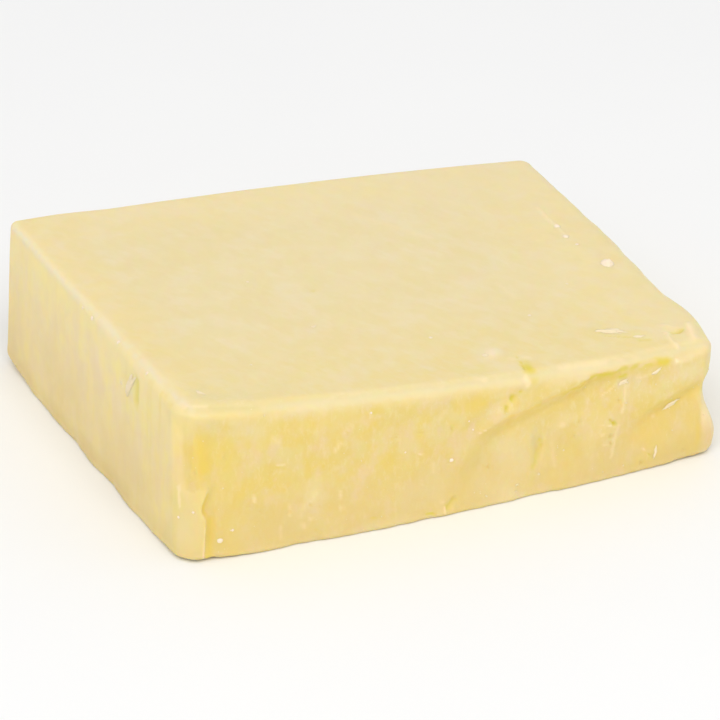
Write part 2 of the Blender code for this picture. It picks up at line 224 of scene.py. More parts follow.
# Soft fields of a finish on a face: place, reach and share of each.
FIELDS = {
    # Deeper yellow, and in some hollows painted shade.
    ("front", "deep"): (
        (73.5, 8.0, 5.0, 5.0, 0.25), (93.5, 5.0, 3.5, 3.5, 0.3), (97.6, 7.2, 1.6, 4.0, 0.4),
        (3.0, 19.5, 2.4, 4.8, 0.52), (9.0, 15.5, 5.0, 7.5, 0.46), (30.0, 17.0, 28.0, 6.5, 0.16),
        (11.0, 21.8, 13.0, 3.2, 0.26), (27.0, 16.0, 27.0, 9.0, 0.1), (15.0, 22.5, 14.0, 2.5, 0.24),
        (8.5, 4.5, 3.5, 6.0, 0.32), (21.0, 12.0, 4.0, 5.0, 0.25), (39.0, 19.0, 3.0, 2.5, 0.25),
        (51.0, 16.0, 3.0, 3.0, 0.22), (12.0, 22.0, 7.0, 3.5, 0.35), (4.5, 19.0, 4.0, 7.0, 0.3),
        (8.6, 20.8, 0.9, 3.0, 0.45), (8.0, 8.0, 3.5, 6.0, 0.25), (21.0, 23.4, 3.4, 1.6, 0.4),
        (44.6, 17.0, 1.3, 1.4, 0.5), (55.4, 21.2, 3.0, 1.3, 0.5), (96.5, 22.3, 2.6, 0.7, 0.3),
        (90.9, 21.3, 1.5, 0.8, 0.9), (83.0, 20.4, 4.0, 0.8, 0.5), (97.2, 14.6, 1.8, 1.2, 0.4),
        (92.5, 12.9, 3.4, 1.0, 0.45), (91.0, 7.0, 5.0, 3.0, 0.25), (96.5, 4.0, 3.5, 3.0, 0.3),
        (99.0, 5.5, 0.7, 4.5, 0.65),
    ),
    # Painted shade under the second hollow's crest.
    ("front", "crease_shade"): ((89.0, 8.6, 3.0, 4.5, 0.35),),
    ("front", "pink"): (
        (95.0, 8.0, 4.0, 4.0, 0.25), (30.0, 20.5, 3.0, 3.0, 0.5), (33.3, 9.8, 1.4, 4.0, 0.7),
        (42.2, 15.6, 1.2, 3.4, 0.7), (53.5, 15.0, 2.6, 2.2, 0.8), (58.8, 17.8, 2.2, 0.9, 0.9),
        (23.2, 7.0, 1.8, 3.2, 0.5), (13.0, 19.8, 1.8, 1.6, 0.6), (82.8, 13.0, 1.0, 5.0, 0.4),
        (78.0, 3.0, 0.8, 3.0, 0.6), (87.0, 5.5, 2.5, 3.0, 0.4),
    ),
    ("front", "rim"): (
        (63.0, 9.0, 4.8, 6.5, 0.42), (61.0, 2.5, 6.0, 3.5, 0.38), (79.5, 11.0, 3.5, 4.0, 0.35),
        (24.6, 8.8, 1.6, 2.6, 0.5), (45.0, 5.0, 9.0, 4.5, 0.22), (61.0, 18.5, 4.5, 5.0, 0.3),
        (84.5, 16.5, 5.0, 2.6, 0.32), (99.6, 14.0, 2.5, 3.2, 0.5), (57.0, 4.0, 4.0, 4.0, 0.25),
        (38.0, 1.0, 8.0, 1.5, 0.35), (95.5, 20.9, 2.4, 0.7, 0.8), (97.0, 18.4, 4.0, 1.8, 0.5),
        (60.0, 21.8, 3.0, 1.0, 0.5), (76.0, 22.4, 6.0, 1.2, 0.6), (72.6, 13.6, 2.2, 2.0, 0.5),
    ),
    ("front", "lime"): ((16.0, 3.0, 10.0, 3.5, 0.3),),
    # Painted shade under the front's right top edge and down the near corner.
    ("front", "blush"): ((85.0, 23.4, 15.0, 2.4, 0.35), (2.4, 17.0, 2.4, 7.5, 0.6)),
    ("top", "edge"): ((6.0, 1.5, 14.0, 5.0, 0.7),),
    ("top", "deep"): (
        (4.0, 1.5, 12.0, 3.5, 0.16), (5.0, 26.0, 6.0, 18.0, 0.14), (98.0, 5.6, 0.7, 0.8, 0.45),
    ),
    ("top", "shade"): ((4.0, 1.5, 7.0, 5.0, 0.25),),
    ("front", "shade"): ((5.0, 26.0, 6.0, 3.0, 0.3),),
    ("front", "chalk"): (
        (13.5, 24.2, 3.5, 1.6, 0.32), (87.0, 23.0, 10.0, 1.8, 0.22), (24.5, 26.3, 5.0, 1.6, 0.4),
        (53.0, 25.3, 4.0, 1.6, 0.28),
    ),
    # Painted light on the front under its top edge at the left.
    ("front", "gleam"): ((20.0, 22.8, 19.0, 2.8, 0.14),),
    ("top", "chalk"): ((62.4, 7.6, 2.0, 2.2, 0.5),),
    ("left", "shade"): ((2.0, 28.5, 5.0, 2.5, 0.6),),
    ("left", "deep"): (
        (6.0, 13.0, 9.0, 16.0, 0.28), (30.0, 10.0, 6.0, 12.0, 0.1), (4.2, 11.0, 0.9, 2.4, 0.55),
        (3.0, 20.5, 1.0, 4.5, 0.35),
    ),
    ("back", "rim"): ((40.0, 15.0, 16.0, 6.0, 0.4),),
    ("back", "pink"): ((78.0, 8.0, 12.0, 6.0, 0.4), (15.0, 10.0, 9.0, 7.0, 0.35)),
    # Painted shade low on the back.
    ("back", "blush"): ((60.0, 5.0, 18.0, 4.0, 0.5),),
    ("end", "deep"): ((30.0, 10.0, 8.0, 6.0, 0.3),),
    ("end", "pink"): ((60.0, 9.0, 9.0, 5.0, 0.45),),
    ("end", "rim"): ((46.0, 20.0, 12.0, 3.0, 0.5), (1.5, 8.0, 3.0, 12.0, 0.7)),
    # The pale strip where the front turns to the end, partly a painted highlight.
    ("front", "edge"): ((100.8, 11.0, 1.4, 4.5, 0.75),),
    ("left", "rim"): ((1.6, 5.0, 3.0, 4.0, 0.5),),
    ("top", "rim"): (
        (52.4, 51.7, 5.0, 3.0, 0.45), (53.5, 42.4, 6.0, 2.5, 0.45), (33.3, 53.7, 7.0, 2.5, 0.35),
        (98.0, 9.0, 4.0, 7.0, 0.6), (91.0, 70.0, 5.0, 4.0, 0.3),
    ),
    # Painted shade in the crack at the front edge.
    ("top", "olive_and_crack_shade"): ((66.0, 0.3, 1.0, 2.2, 1.0),),
    ("front", "olive_and_crack_shade"): ((66.1, 24.9, 1.0, 2.0, 1.0),),
    ("left", "pink"): ((50.0, 14.0, 14.0, 5.0, 0.35), (22.0, 9.0, 12.0, 5.0, 0.35)),
}

# Marks on the faces: half width, how high the mark stands, its tint, from -1 for deeper yellow and
# painted shade to 1 for chalky white, and then the places of its line's corners, one after another.
MARKS = (
    # The pale seams down the right of the scoop, and short stubs that cross them.
    ("front", (
        (0.26, 0.08, 0.35, 84.3, 18.2, 84.1, 15.3, 83.6, 13.0),
        (0.32, 0.08, 0.32, 83.1, 10.4, 82.5, 9.4, 82.3, 7.0, 81.9, 4.3),
        (0.2, 0.08, 0.35, 79.9, 16.8, 82.4, 18.4, 84.4, 18.7),
        (0.18, 0.08, 0.55, 79.6, 11.2, 81.6, 10.9), (0.2, 0.06, 0.5, 79.5, 9.4, 80.2, 9.4),
        (0.16, 0.05, 0.25, 80.0, 7.2, 81.2, 7.0),
    )),
    # The two cracks in the edge, with the bright inside of the first.
    ("top", (
        (1.2, 0.2, 0.6, 61.7, 6.5, 62.6, 7.7), (0.55, 0.05, 0.35, 66.9, 4.3, 67.7, 4.0),
        (0.5, 0.05, 0.3, 64.4, 4.6, 64.9, 4.1), (0.26, -0.1, -0.4, 65.8, 4.9, 65.7, 4.4),
        (0.34, -0.14, -0.75, 65.6, 2.9, 65.5, 2.3), (0.36, -0.25, -0.95, 65.4, 1.5, 65.3, 0.2),
    )),
    ("front", (
        (0.5, 0.08, 0.6, 64.6, 24.6, 64.9, 22.7), (0.26, -0.25, -0.9, 63.5, 21.6, 63.7, 21.8),
        (0.44, -0.45, -1.0, 61.8, 20.6, 62.1, 21.0), (0.38, -0.34, -0.95, 60.5, 19.1, 60.6, 19.4),
    )),
    # The crack in the scoop's floor, the pit and the notch at the foot.
    ("front", (
        (0.26, -0.22, -0.6, 68.0, 10.5, 67.9, 10.1), (0.24, -0.22, -0.6, 68.3, 9.4, 68.2, 8.9),
        (0.42, -0.16, -0.45, 67.9, 8.6, 67.5, 7.2, 66.6, 5.6), (0.4, 0.05, 0.15, 70.4, 9.5, 70.7, 5.0),
        (0.42, -0.18, -1.0, 83.4, 20.0, 84.3, 20.1), (0.22, -0.3, -0.75, 81.4, 11.8, 81.6, 11.6),
        (0.34, -0.5, -1.0, 82.0, 11.2, 82.3, 11.0), (0.18, -0.2, -0.6, 89.0, 3.4, 89.4, 3.1),
        (0.5, -0.4, -0.6, 51.0, 2.9, 49.7, 1.8), (0.26, -0.2, -0.9, 46.1, 1.1, 47.2, 1.0),
        (0.18, -0.15, -0.5, 35.2, 2.8, 36.0, 2.6), (0.18, -0.15, -0.45, 35.9, 23.2, 36.1, 23.0),
        (0.2, -0.25, -0.6, 10.1, 6.1, 10.2, 6.0), (0.14, -0.12, -0.4, 18.4, 15.7, 19.3, 15.5),
    )),
    # Strokes and scars of the front.
    ("front", (
        (0.2, 0.08, 0.42, 13.7, 11.5, 13.9, 10.1), (0.18, 0.1, 0.85, 25.7, 13.1, 25.6, 12.0),
        (0.4, 0.1, 0.18, 25.2, 9.9, 24.4, 8.4, 22.9, 7.4, 22.3, 5.8),
        (0.28, 0.06, 0.26, 20.4, 8.1, 20.4, 6.2), (0.2, 0.06, 0.55, 23.9, 4.7, 24.4, 4.6),
        (0.36, 0.06, 0.3, 22.7, 3.8, 22.9, 3.3), (0.26, 0.05, 0.22, 18.6, 4.4, 18.6, 2.0),
        (0.2, 0.06, 0.4, 18.3, 16.3, 19.3, 16.1), (0.4, 0.06, 0.24, 17.5, 21.8, 18.3, 20.8),
        (0.3, 0.08, 0.24, 31.6, 22.0, 30.3, 20.4), (0.36, 0.06, 0.35, 29.8, 18.6, 28.6, 17.2),
        (0.17, 0.07, 0.38, 29.5, 9.2, 29.8, 7.3), (0.36, 0.06, 0.3, 29.7, 6.1, 29.8, 5.9),
        (0.4, 0.08, 0.2, 49.2, 20.8, 48.1, 19.5), (0.15, 0.06, 0.6, 47.0, 20.5, 47.0, 19.8),
        (0.34, 0.06, 0.24, 47.0, 11.1, 47.0, 9.3), (0.15, 0.06, 0.5, 44.7, 8.6, 44.7, 7.4),
        (0.18, 0.06, 0.55, 44.4, 13.4, 44.9, 13.2), (0.2, 0.08, 0.6, 49.1, 1.9, 49.1, 0.8),
        (0.34, 0.06, 0.3, 48.6, 3.2, 49.0, 2.9), (0.2, 0.08, 0.6, 55.8, 15.5, 56.7, 15.7),
        (0.45, 0.1, 0.35, 72.0, 12.7, 72.6, 12.6), (0.2, 0.1, 0.4, 86.6, 19.2, 88.7, 19.2, 89.9, 19.5),
        (0.36, 0.08, 0.3, 90.4, 10.3, 90.6, 10.1), (0.24, 0.08, 0.55, 88.2, 4.5, 88.5, 4.3),
    )),
    # The crinkled corner of the top, front right: ridges round a small hollow.
    ("top", (
        (0.7, 0.28, 0.6, 100.2, 7.3, 99.5, 4.6, 98.8, 2.2), (0.6, 0.22, 0.42, 96.0, 8.2, 97.3, 6.8),
        (0.3, 0.25, 0.85, 94.9, 5.3, 95.5, 5.1), (0.3, -0.3, -0.55, 95.9, 5.2, 97.4, 5.1, 98.6, 5.8),
        (0.45, 0.2, 0.5, 94.9, 4.2, 94.6, 2.2, 94.8, 0.6), (0.5, -0.1, -0.35, 89.6, 4.4, 91.2, 4.2),
    )),
    ("front", (
        (0.3, 0.15, 0.9, 94.0, 21.0, 94.1, 20.8),
    )),
    # The top: a dark dash, pale scratches, and the thin ridge beside the right edge.
    ("top", (
        (0.35, -0.12, -0.3, 41.1, 39.3, 42.1, 38.7),
        (0.7, 0.05, 0.2, 61.1, 66.4, 65.8, 60.2, 70.5, 53.6), (0.6, 0.04, 0.2, 74.8, 32.1, 75.2, 26.5),
        (0.36, 0.12, 0.45, 95.2, 60.0, 94.9, 55.2, 95.2, 51.5, 95.0, 47.6),
        (0.16, -0.12, -0.4, 84.0, 7.9, 88.8, 5.8),
    )),
    # The left face: the nick, and the pale border of the skin.
    ("left", (
        (1.0, -0.25, -0.6, 20.5, 25.8, 20.4, 24.0, 20.5, 22.2),
        (0.45, 0.06, 0.5, 27.3, 22.6, 26.6, 22.0), (0.26, 0.06, 0.6, 2.3, 14.3, 2.0, 10.5),
    )),
    # The back and the right end, finished like the faces that show.
    ("back", (
        (0.5, 0.06, 0.35, 30.0, 22.0, 31.5, 17.0), (0.4, 0.05, 0.3, 72.0, 12.0, 72.4, 6.0),
        (0.35, -0.2, -0.45, 58.0, 24.5, 59.2, 20.0), (0.3, -0.12, -0.35, 12.0, 9.0, 15.0, 8.4),
    )),
    ("end", (
        (0.4, 0.08, 0.45, 22.0, 18.0, 23.0, 12.0), (0.5, -0.4, -0.6, 40.0, 9.0, 41.0, 7.0),
        (0.3, 0.08, 0.5, 58.0, 14.0, 57.0, 10.0), (0.35, -0.3, -0.7, 30.0, 4.0, 31.5, 3.4),
    )),
)
# The noise that makes the marks ragged: cell, reach and first seed.
MARK_RAGGED = (0.9, 0.24, 31)

# Loose flakes: the face they cling to, their place there, half length, half width, half
# thickness, turn in degrees, how far their ends curl up, taper and bend.
FLAKES = (
    ("top", (86.1, 9.3), 2.9, 1.05, 0.50, -21, 0.0, 0.1, -0.10),
    ("top", (90.0, 6.1), 1.20, 0.45, 0.24, -8, 0.0, 0.3, 0.1),
    ("top", (60.6, 6.9), 0.7, 0.5, 0.24, -10, 0.0, -0.3, 0.0),
    ("top", (6.9, 6.3), 1.3, 0.45, 0.20, -64, 0.0, 0.5, 0.2),
    ("top", (36.1, 25.9), 0.75, 0.32, 0.15, 20, 0.0, 0.3, 0.4),
    ("front", (83.9, 18.9), 1.0, 0.42, 0.36, 14, 0.03, -0.5, -0.2),
    ("front", (90.4, 19.7), 1.1, 0.34, 0.28, 34, 0.03, 0.3, 0.1),
    ("front", (93.7, 11.8), 1.9, 0.40, 0.34, 28, 0.0, -0.3, -0.1),
    ("front", (90.7, 3.5), 1.45, 0.32, 0.30, 76, 0.0, 0.4, 0.1),
    ("left", (23.7, 23.6), 3.4, 1.0, 0.55, 62, 0.0, -0.2, -0.05),
    ("left", (27.2, 22.4), 0.5, 0.35, 0.2, 150, 0.0, 0.3, 0.0),
)

# Crystals and grains on each face: place and radius. Their half sizes are shares of the radius,
# and the ones over the large radius are wider and higher. They are turned up to so many radians.
CRYSTALS = {
    "top": (
        (97.4, 35.1, 1.2), (95.1, 51.9, 0.55), (95.0, 47.4, 0.6), (95.4, 43.5, 0.35),
        (54.4, 15.9, 0.36), (19.4, 14.4, 0.26), (31.4, 45.2, 0.26), (86.8, 29.4, 0.26),
        (74.9, 19.5, 0.32),
    ),
    "front": (
        (7.4, 3.8, 0.5), (50.3, 10.9, 0.38), (2.8, 10.2, 0.26), (9.7, 5.7, 0.24), (41.7, 14.3, 0.18),
        (53.8, 18.1, 0.18), (35.6, 23.4, 0.22), (54.5, 16.0, 0.18),
    ),
    "left": (
        (2.4, 8.5, 0.26), (46.3, 28.2, 0.26), (41.3, 28.3, 0.42), (30.2, 28.7, 0.38),
        (17.6, 28.8, 0.34),
    ),
    "back": ((25.0, 14.0, 0.35), (66.5, 18.5, 0.5), (88.0, 7.0, 0.3)),
    "end": ((18.0, 6.5, 0.4), (47.0, 12.0, 0.35), (64.0, 5.0, 0.45)),
}
CRYSTAL_SHAPE, LARGE_CRYSTAL_SHAPE, LARGE_CRYSTAL = (1.1, 1.0, 0.55), (1.1, 1.3, 0.935), 1.0
CRYSTAL_TURNS = 9.0
# How far a flake or grain is sunk in the cheese, as a share of its half thickness.
SUNK = 0.3
# Crumbs: how likely they are off the broken faces, from which height, and high up against the
# foot, where they crowd within that reach; the smallest radius and how much more the largest has;
# how far they are stretched and how flat they lie.
CRUMBS_ELSEWHERE, CRUMBS_FROM_Z, CRUMBS_HIGH, CRUMBS_LOW_REACH = 0.012, 0.3, 0.4, 4.0
CRUMB_RADIUS, CRUMB_RADIUS_MORE = 0.08, 0.20
CRUMB_STRETCH, CRUMB_SHAPE, FULL_TURN = (0.7, 1.6), (1.0, 1.0, 0.7), 6.28
# The noises that make lumps uneven: the share of their roughness, and how crowded they are. Each
# lump has its own place in them, up to so many cells off.
LUMP_NOISES, LUMP_SHIFT = ((1.0, 1.9), (0.5, 4.5)), 40
# A lump's seat looks its face's way by this cosine at least, or counts as so many mm off. A seat
# that looks up by over so much is turned from the y axis, and any other from the z axis.
SEAT_LOOKS, ELSEWHERE, UPWARDS = 0.4, 100, 0.8

# The finishes, each a share from 0 to 1 over the surface, and the cell and seed of the noises that
# make them uneven.
FINISHES = (
    "rim", "edge", "deep", "crease_shade", "lime", "blush", "side", "pink", "milk", "shade", "gleam",
    "chalk", "olive_and_crack_shade", "fresh", "white", "warm",
)
TINT_NOISES = {
    "wander": (3.0, 11), "broad": (9.0, 12), "fine": (1.3, 13), "spots": ((1.6, 1.6, 1.0), 14),
}

# Bands along the top edges: the finish, the side, the band's pattern, its strength, how far down
# its middle lies and its reach, each of them far from the front and what it gains near there,
# and how far the wandering and the fine noise shift its middle.
BANDS = (
    ("edge", "front", "ragged", (0.8, 0), (-0.3, 0), (1.9, 0), (0.9, 0.4)),
    ("edge", "end", "ragged", (0.95, 0), (0.8, 0), (2.7, 0), (0.7, 0)),
    ("shade", "front", "even", (0.6, 0), (0.1, 0), (1.1, 0), (0, 0)),
    ("rim", "left", "ragged", (0.9, -0.1), (0.5, 0), (1.2, 1.2), (0.5, 0)),
    ("rim", "back", "ragged", (0.6, 0), (0.2, 0), (1.2, 0), (0.5, 0)),
    ("milk", "left", "milky", (0.95, -0.4), (0.3, -1.1), (0.85, 0.4), (0, 0)),
    ("chalk", "left", "chalky", (0.85, -0.3), (0.35, -1.0), (0.8, 0.5), (0, 0)),
    ("chalk", "front", "past_corner", (0.36, 0), (0.35, 0), (1.2, 0), (0, 0)),
    ("white", "front", "scattered", (0.4, 0), (-0.7, 0), (1.1, 0), (0, 0)),
    ("lime", "end", "even", (0.5, 0), (0.9, 0), (3.2, 0), (0, 0)),
)
# How deep under both of its faces an edge's band fades, and where the near end and the front past
# the corner lie. The ragged pattern's least share, and what the noises add to it. The noise over
# which the blobs and the scattered places show.
BAND_DEPTH = 1.5
NEAR_Y, PAST_CORNER_X = (60.0, 15.0), (12.0, 20.0)
RAGGED, RAGGED_BROAD, RAGGED_OTHERS = 0.72, 0.35, 0.3
BLOBS, SCATTERED = (-0.5, 0.4), (0.15, 0.7)

# A span is given as where a share is gone and where it is whole. The broken faces: how far in from
# the front and the end, past the skin's edge or the bare corner over it, and below the top.
FRESH_INWARD, FRESH_PAST_EDGE, FRESH_BELOW = (3.2, 0.3), (-0.6, 0.9), (0.5, 3.9)
FRESH_SKIN_TOP, FRESH_CORNER_X = 14.0, 1.9

# The skin that laps the near corner, the pale line along its edge, and the painted shadow past it,
# high and low, with their strength, distance and reach.
SKIN_X, SKIN_Z, SKIN_Y = (0.12, -0.12), (15.6, 12.2), (1.6, 0.0)
SKIN_TURN, SKIN_TURN_FOOT, SKIN_TURN_Z = 2.6, 3.5, (9.0, 3.0)
SKIN_LINE, SKIN_LINE_REACH, SKIN_LINE_Z, SKIN_LINE_DOTS = 0.12, 0.20, (10.5, 8.0), (-0.5, 0.2)
PAST_SKIN_HIGH, PAST_SKIN_LOW = (1.2, 0.35, 0.5), (0.9, 0.9, 1.1)
HIGH_FROM_Z, HIGH_TO_Z, LOW_Z = (8.6, 9.6), (14.0, 12.6), (10.0, 8.0)

# Painted shade in the creases under the front scoop's lip, by ring number, and under the second
# hollow's crest, and the dark spots and pink curds on the lip.
CREASE_FOOT, CREASE_FOOT_HARD, CREASE_WIDTH, CREASE_TOP = 0.93, 0.035, 0.13, (1.0, 0.982)
CREASE_FROM_X, CREASE_TO_X = (56.0, 62.0), (93.0, 89.0)
CREASE_SHARE, CREASE_LESS, CREASE_LESS_X = 0.62, 0.25, (76.0, 82.0)
SOFT_CREASE, SOFT_CREASE_REACH = 0.94, 0.09
SOFT_CREASE_FROM_X, SOFT_CREASE_TO_X = (47.0, 53.0), (64.0, 59.0)
CREST_DROP, CREST_REACH, CREST_X = 0.9, 2.3, (84.0, 90.0)
LIP_LINE, LIP_LINE_REACH, LIP_FROM_X, LIP_TO_X = 0.963, 0.037, (68.0, 78.0), (94.0, 92.0)
LIP_SPOTS, LIP_CURDS = (-0.35, 0.15), (0.05, 0.6)

# The chalky strip where the front turns to the end, pale and partly a painted highlight.
STRIP_SHARE, STRIP_X, STRIP_Z, STRIP_REACH = 0.5, (99.5, 100.1), 8.3, 2.1

# Broad tints: the finish, the face, its strength, and the spans that bound it. Each span has what
# is measured, where the tint is gone and where it is whole, and what noise shifts it, and how far.
TINTS = (
    ("pink", "front", 0.35, ("z", 2.4, 0.3, "fine", 0.5)),
    ("pink", "front", 0.5, ("x", 99.5, 100.1), ("z", 9.0, 6.0)),
    # Painted shade: the sides and the front darker towards the bottom.
    ("blush", "left", 0.75, ("z", 26.0, 2.0, "broad", 2.5), ("y", 3.0, 18.0)),
    ("blush", "front", 0.8, ("z", 17.0, 3.0, "broad", 2.5)),
    ("blush", "left", 1.0, ("z", 9.0, 2.0)),
    # Painted light: the left side lighter under its top edge.
    ("gleam", "left", 0.6, ("below", 9.0, 0.0, "broad", 2.0)),
    ("warm", "top", 1.0, ("y", 34.0, 2.0, "broad", 5.0)),
    ("warm", "top", 0.55, ("x", 16.0, 2.0)),
    ("warm", "front", 1.0),
    ("side", "left", 1.0),
    ("side", "back", 0.8),
    ("side", "top", 0.32, ("x", 72.0, 100.0)),
    ("side", "top", 0.3, ("y", 64.0, 80.0)),
    ("side", "top", 0.3, ("x", 14.0, 1.0)),
    ("rim", "top", 0.35, ("y", 50.0, 82.0), ("x", 10.0, 90.0)),
    # The pocket over the skin at the near corner.
    (
        "deep", "front", 0.92, ("x", 3.0, 4.6), ("x", 8.2, 4.8, "wander", 0.5),
        ("z", 15.6, 17.6, "wander", 0.6), ("z", 26.0, 22.3),
    ),
)

# The fine relief: sums of noise, the curds and drag lines in shares of their set height and the
# others in mm. The pits' cells, their rims as a share of a cell, and their painted shade. How
# near the front the drag lines are stronger, and the heights that are pale streaks or grooves.
CURDS = ((0.6, (2.4, 2.4, 3.6), 41), (0.4, (1.0, 1.0, 1.8), 42))
DRAG_LINES = ((0.5, (0.9, 0.9, 16.0), 45), (1.0, (2.0, 2.0, 24.0), 46))
TOP_RELIEF = ((0.05, 13.0, 47), (0.012, (30.0, 1.1, 9.0), 48))
FOOT_CRUMBLE, FOOT_CRUMBLE_Z = ((0.16, 1.5, 49),), (2.5, 0.5)
PIT_CELL, PIT_SEED, PIT_EDGE, PIT_SHADE = 1.7, 44, (0.28, 0.08), 0.4
DRAG_NEAR_Y, STREAK_DRAG, GROOVE_DRAG = (30.0, 6.0), (0.0, 0.8), (0.0, 0.6)
# The relief grows over this span from the flat underside.
RELIEF_Z = (0.0, 0.6)

# Patches of noise in the cheese: the shift in the noise, their size in mm, how much taller than
# wide they are, and the noise from which and up to which they show.
PATCHES = {
    "broad": (0, 11, 1, 0.35, 0.65),
    "pale": (1, 5.0, 1.2, 0.42, 0.66),
    "golden": (2, 4.2, 1.3, 0.48, 0.70),
    "curd": (3, 2.8, 1.5, 0.46, 0.70),
    "thread": (4, 1.0, 2.2, 0.50, 0.74),
    "upright": (5, 4.2, 1.8, 0.44, 0.64),
    "slender": (6, 1.5, 3.0, 0.48, 0.66),
    "edge_milk": (7, 1.0, 1, 0.50, 0.66),
    "golden_side": (8, 3.8, 1.8, 0.43, 0.67),
    "edge_straw": (9, 1.3, 1, 0.52, 0.68),
    "dusky": (10, 5.0, 1.6, 0.43, 0.65),
}
# Streaks aslant: shift and size in mm, and the noise from which and up to which they show.
STREAKS = ((0, 3.2, 0.48, 0.66), (3, 1.7, 0.5, 0.66), (6, 2.3, 0.5, 0.66))
STREAK_TURN, STREAK_STRETCH = -1.1, 1.9
# The size of the specks in mm.
SPECK = 0.55

# The floor's patches and colours, the key light's size and place in metres, and the camera: its
# lens, the place it looks at in mm, and how far it is turned aside and raised in degrees.
FLOOR_PATCH, FLOOR_COLOURS = 0.05, ((0.90, 0.90, 0.90, 1), (0.92, 0.92, 0.915, 1))
KEY_SIZE, KEY_PLACE = (1.4, 1.0), (-0.35, -1.0, 1.25)
LENS, SENSOR = 280, 36
CAMERA_TARGET, CAMERA_TURN, CAMERA_RISE = (-3.115, -7.577, 14), -23, 27.7


def smooth_step(low, high, value):
    """0 up to low, 1 from high on, and 3s^2 - 2s^3 of the share s of the way between them. Where
    low is over high, it falls instead."""
    share = np.clip((value - low) / (high - low), 0, 1)
    return share * share * (3 - 2 * share)


def bump(distance, reach):
    """The bell curve: e to the power of minus the square of distance over reach."""
    return np.exp(-((distance / reach) ** 2))


def oval(x, z, place, reach):
    """A bell curve round a place, with its own reach along each axis."""
    return bump(np.hypot((x - place[0]) / reach[0], (z - place[1]) / reach[1]), 1)


def smooth_noise(points, cell, seed, size=NOISE_CELLS):
    """Gradient noise from about -1 to 1: each lattice corner has a random slope, and the heights
    that the eight slopes round a point give it are blended by smooth steps. cell is the
    lattice's gap, one number or one for each axis, and size is how many cells repeat."""
    slopes = np.random.default_rng(seed).normal(size=(size, size, size, 3))
    slopes /= np.linalg.norm(slopes, axis=-1, keepdims=True)
    scaled = points / np.asarray(cell, float)
    low = np.floor(scaled).astype(int)
    offset = scaled - low
    blend = smooth_step(0, 1, offset)
    total = np.zeros(len(points))
    for corner in itertools.product((0, 1), repeat=3):
        weight = np.prod(np.where(corner, blend, 1 - blend), axis=1)
        slope = slopes[tuple(((low + corner) % size).T)]
        total += weight * np.sum(slope * (offset - corner), axis=1)
    return NOISE_GAIN * total


def nearest_seed(points, cell, seed, size=NOISE_CELLS):
    """Scattered seeds, one in each cell of a lattice: the distance from each point to the nearest
    seed, in cells, and that seed's own random number from 0 to 1."""
    draws = np.random.default_rng(seed).random((size, size, size, 4))
    scaled = points / cell
    low = np.floor(scaled).astype(int)
    nearest = np.full(len(points), np.inf)
    number = np.zeros(len(points))
    for step in itertools.product((-1, 0, 1), repeat=3):
        draw = draws[tuple(((low + step) % size).T)]
        distance = np.linalg.norm(low + step + draw[:, :3] - scaled, axis=1)
        closer = distance < nearest
        nearest = np.where(closer, distance, nearest)
        number = np.where(closer, draw[:, 3], number)
    return nearest, number


def layered(points, rows):
    """The sum of noises, each given by its height, cell and seed."""
    return sum(height * smooth_noise(points, cell, seed) for height, cell, seed in rows)


def line_distance(flat, corners):
    """The distance from points in a plane to the nearest part of a line through those corners."""
    nearest = np.full(len(flat), np.inf)
    for start, end in itertools.pairwise(corners):
        along = end - start
        share = np.clip((flat - start) @ along / (along @ along), 0, 1)
        nearest = np.minimum(nearest, np.linalg.norm(flat - start - share[:, None] * along, axis=1))
    return nearest


def crowded_lines(gaps):
    """Places whose gaps follow the wanted ones: equal steps of the running sum of 1 over the gap."""
    places, wanted = np.array(gaps, float).T
    fine = np.linspace(places[0], places[-1], FINE_PLACES)
    steps = np.append(0, np.cumsum(np.diff(fine) / np.interp(fine[1:], places, wanted)))
    count = round(steps[-1])
    return np.interp(np.linspace(0, steps[-1], count + 1), steps, fine)


def walk(corners):
    """The lattice nodes passed on a closed walk between those corners, with steps of one."""
    legs = zip(corners, corners[1:] + corners[:1])
    nodes = [np.linspace(a, b, max(np.abs(np.subtract(b, a))), endpoint=False) for a, b in legs]
    return np.round(np.concatenate(nodes)).astype(int)


def lattice_box(lines):
    """A box as points numbered by their three line numbers, squares on its six sides that turn
    left seen from outside, and one many-sided face in the flat middle of the underside."""
    counts = [len(line) for line in lines]
    squares = []
    for axis in range(3):
        first, second = (axis + 1) % 3, (axis + 2) % 3
        i, j = np.meshgrid(np.arange(counts[first] - 1), np.arange(counts[second] - 1), indexing="ij")
        i, j = i.ravel(), j.ravel()
        for side in (0, counts[axis] - 1):
            kept = np.full(i.size, True)
            if axis == 2 and side == 0:
                kept = ~underside_middle(lines, i, j)
            numbers = []
            for step_i, step_j in ((0, 0), (1, 0), (1, 1), (0, 1)):
                index = [None] * 3
                index[axis] = np.full(kept.sum(), side)
                index[first] = i[kept] + step_i
                index[second] = j[kept] + step_j
                numbers.append(np.ravel_multi_index(index, counts))
            squares.append(np.stack(numbers if side else numbers[::-1], axis=1))
    ring, corner_i, corner_j = underside_ring(lines)
    far_i, far_j = counts[0] - 1 - ring, counts[1] - 1 - ring
    outline = [(corner_i, ring), (far_i, ring), (far_i, far_j), (ring, far_j)]
    outline += [(ring, corner_j), (corner_i, corner_j)]
    nodes = walk(outline)[::-1]
    middle = np.ravel_multi_index((nodes[:, 0], nodes[:, 1], np.zeros(len(nodes), int)), counts)
    corners = np.concatenate([np.concatenate(squares).ravel(), middle])
    used, numbers = np.unique(corners, return_inverse=True)
    squares, middle = numbers[: -len(middle)].reshape(-1, 4), numbers[-len(middle):]
    places = np.unravel_index(used, counts)
    points = np.stack([line[place] for line, place in zip(lines, places)], axis=1)
    return points, squares, middle


def underside_ring(lines):
    """How many squares the ring on the underside is wide, and the last lines of its near corner."""
    corner = [int(np.searchsorted(line, UNDERSIDE_CORNER)) for line in lines[:2]]
    return UNDERSIDE_RING, corner[0], corner[1]


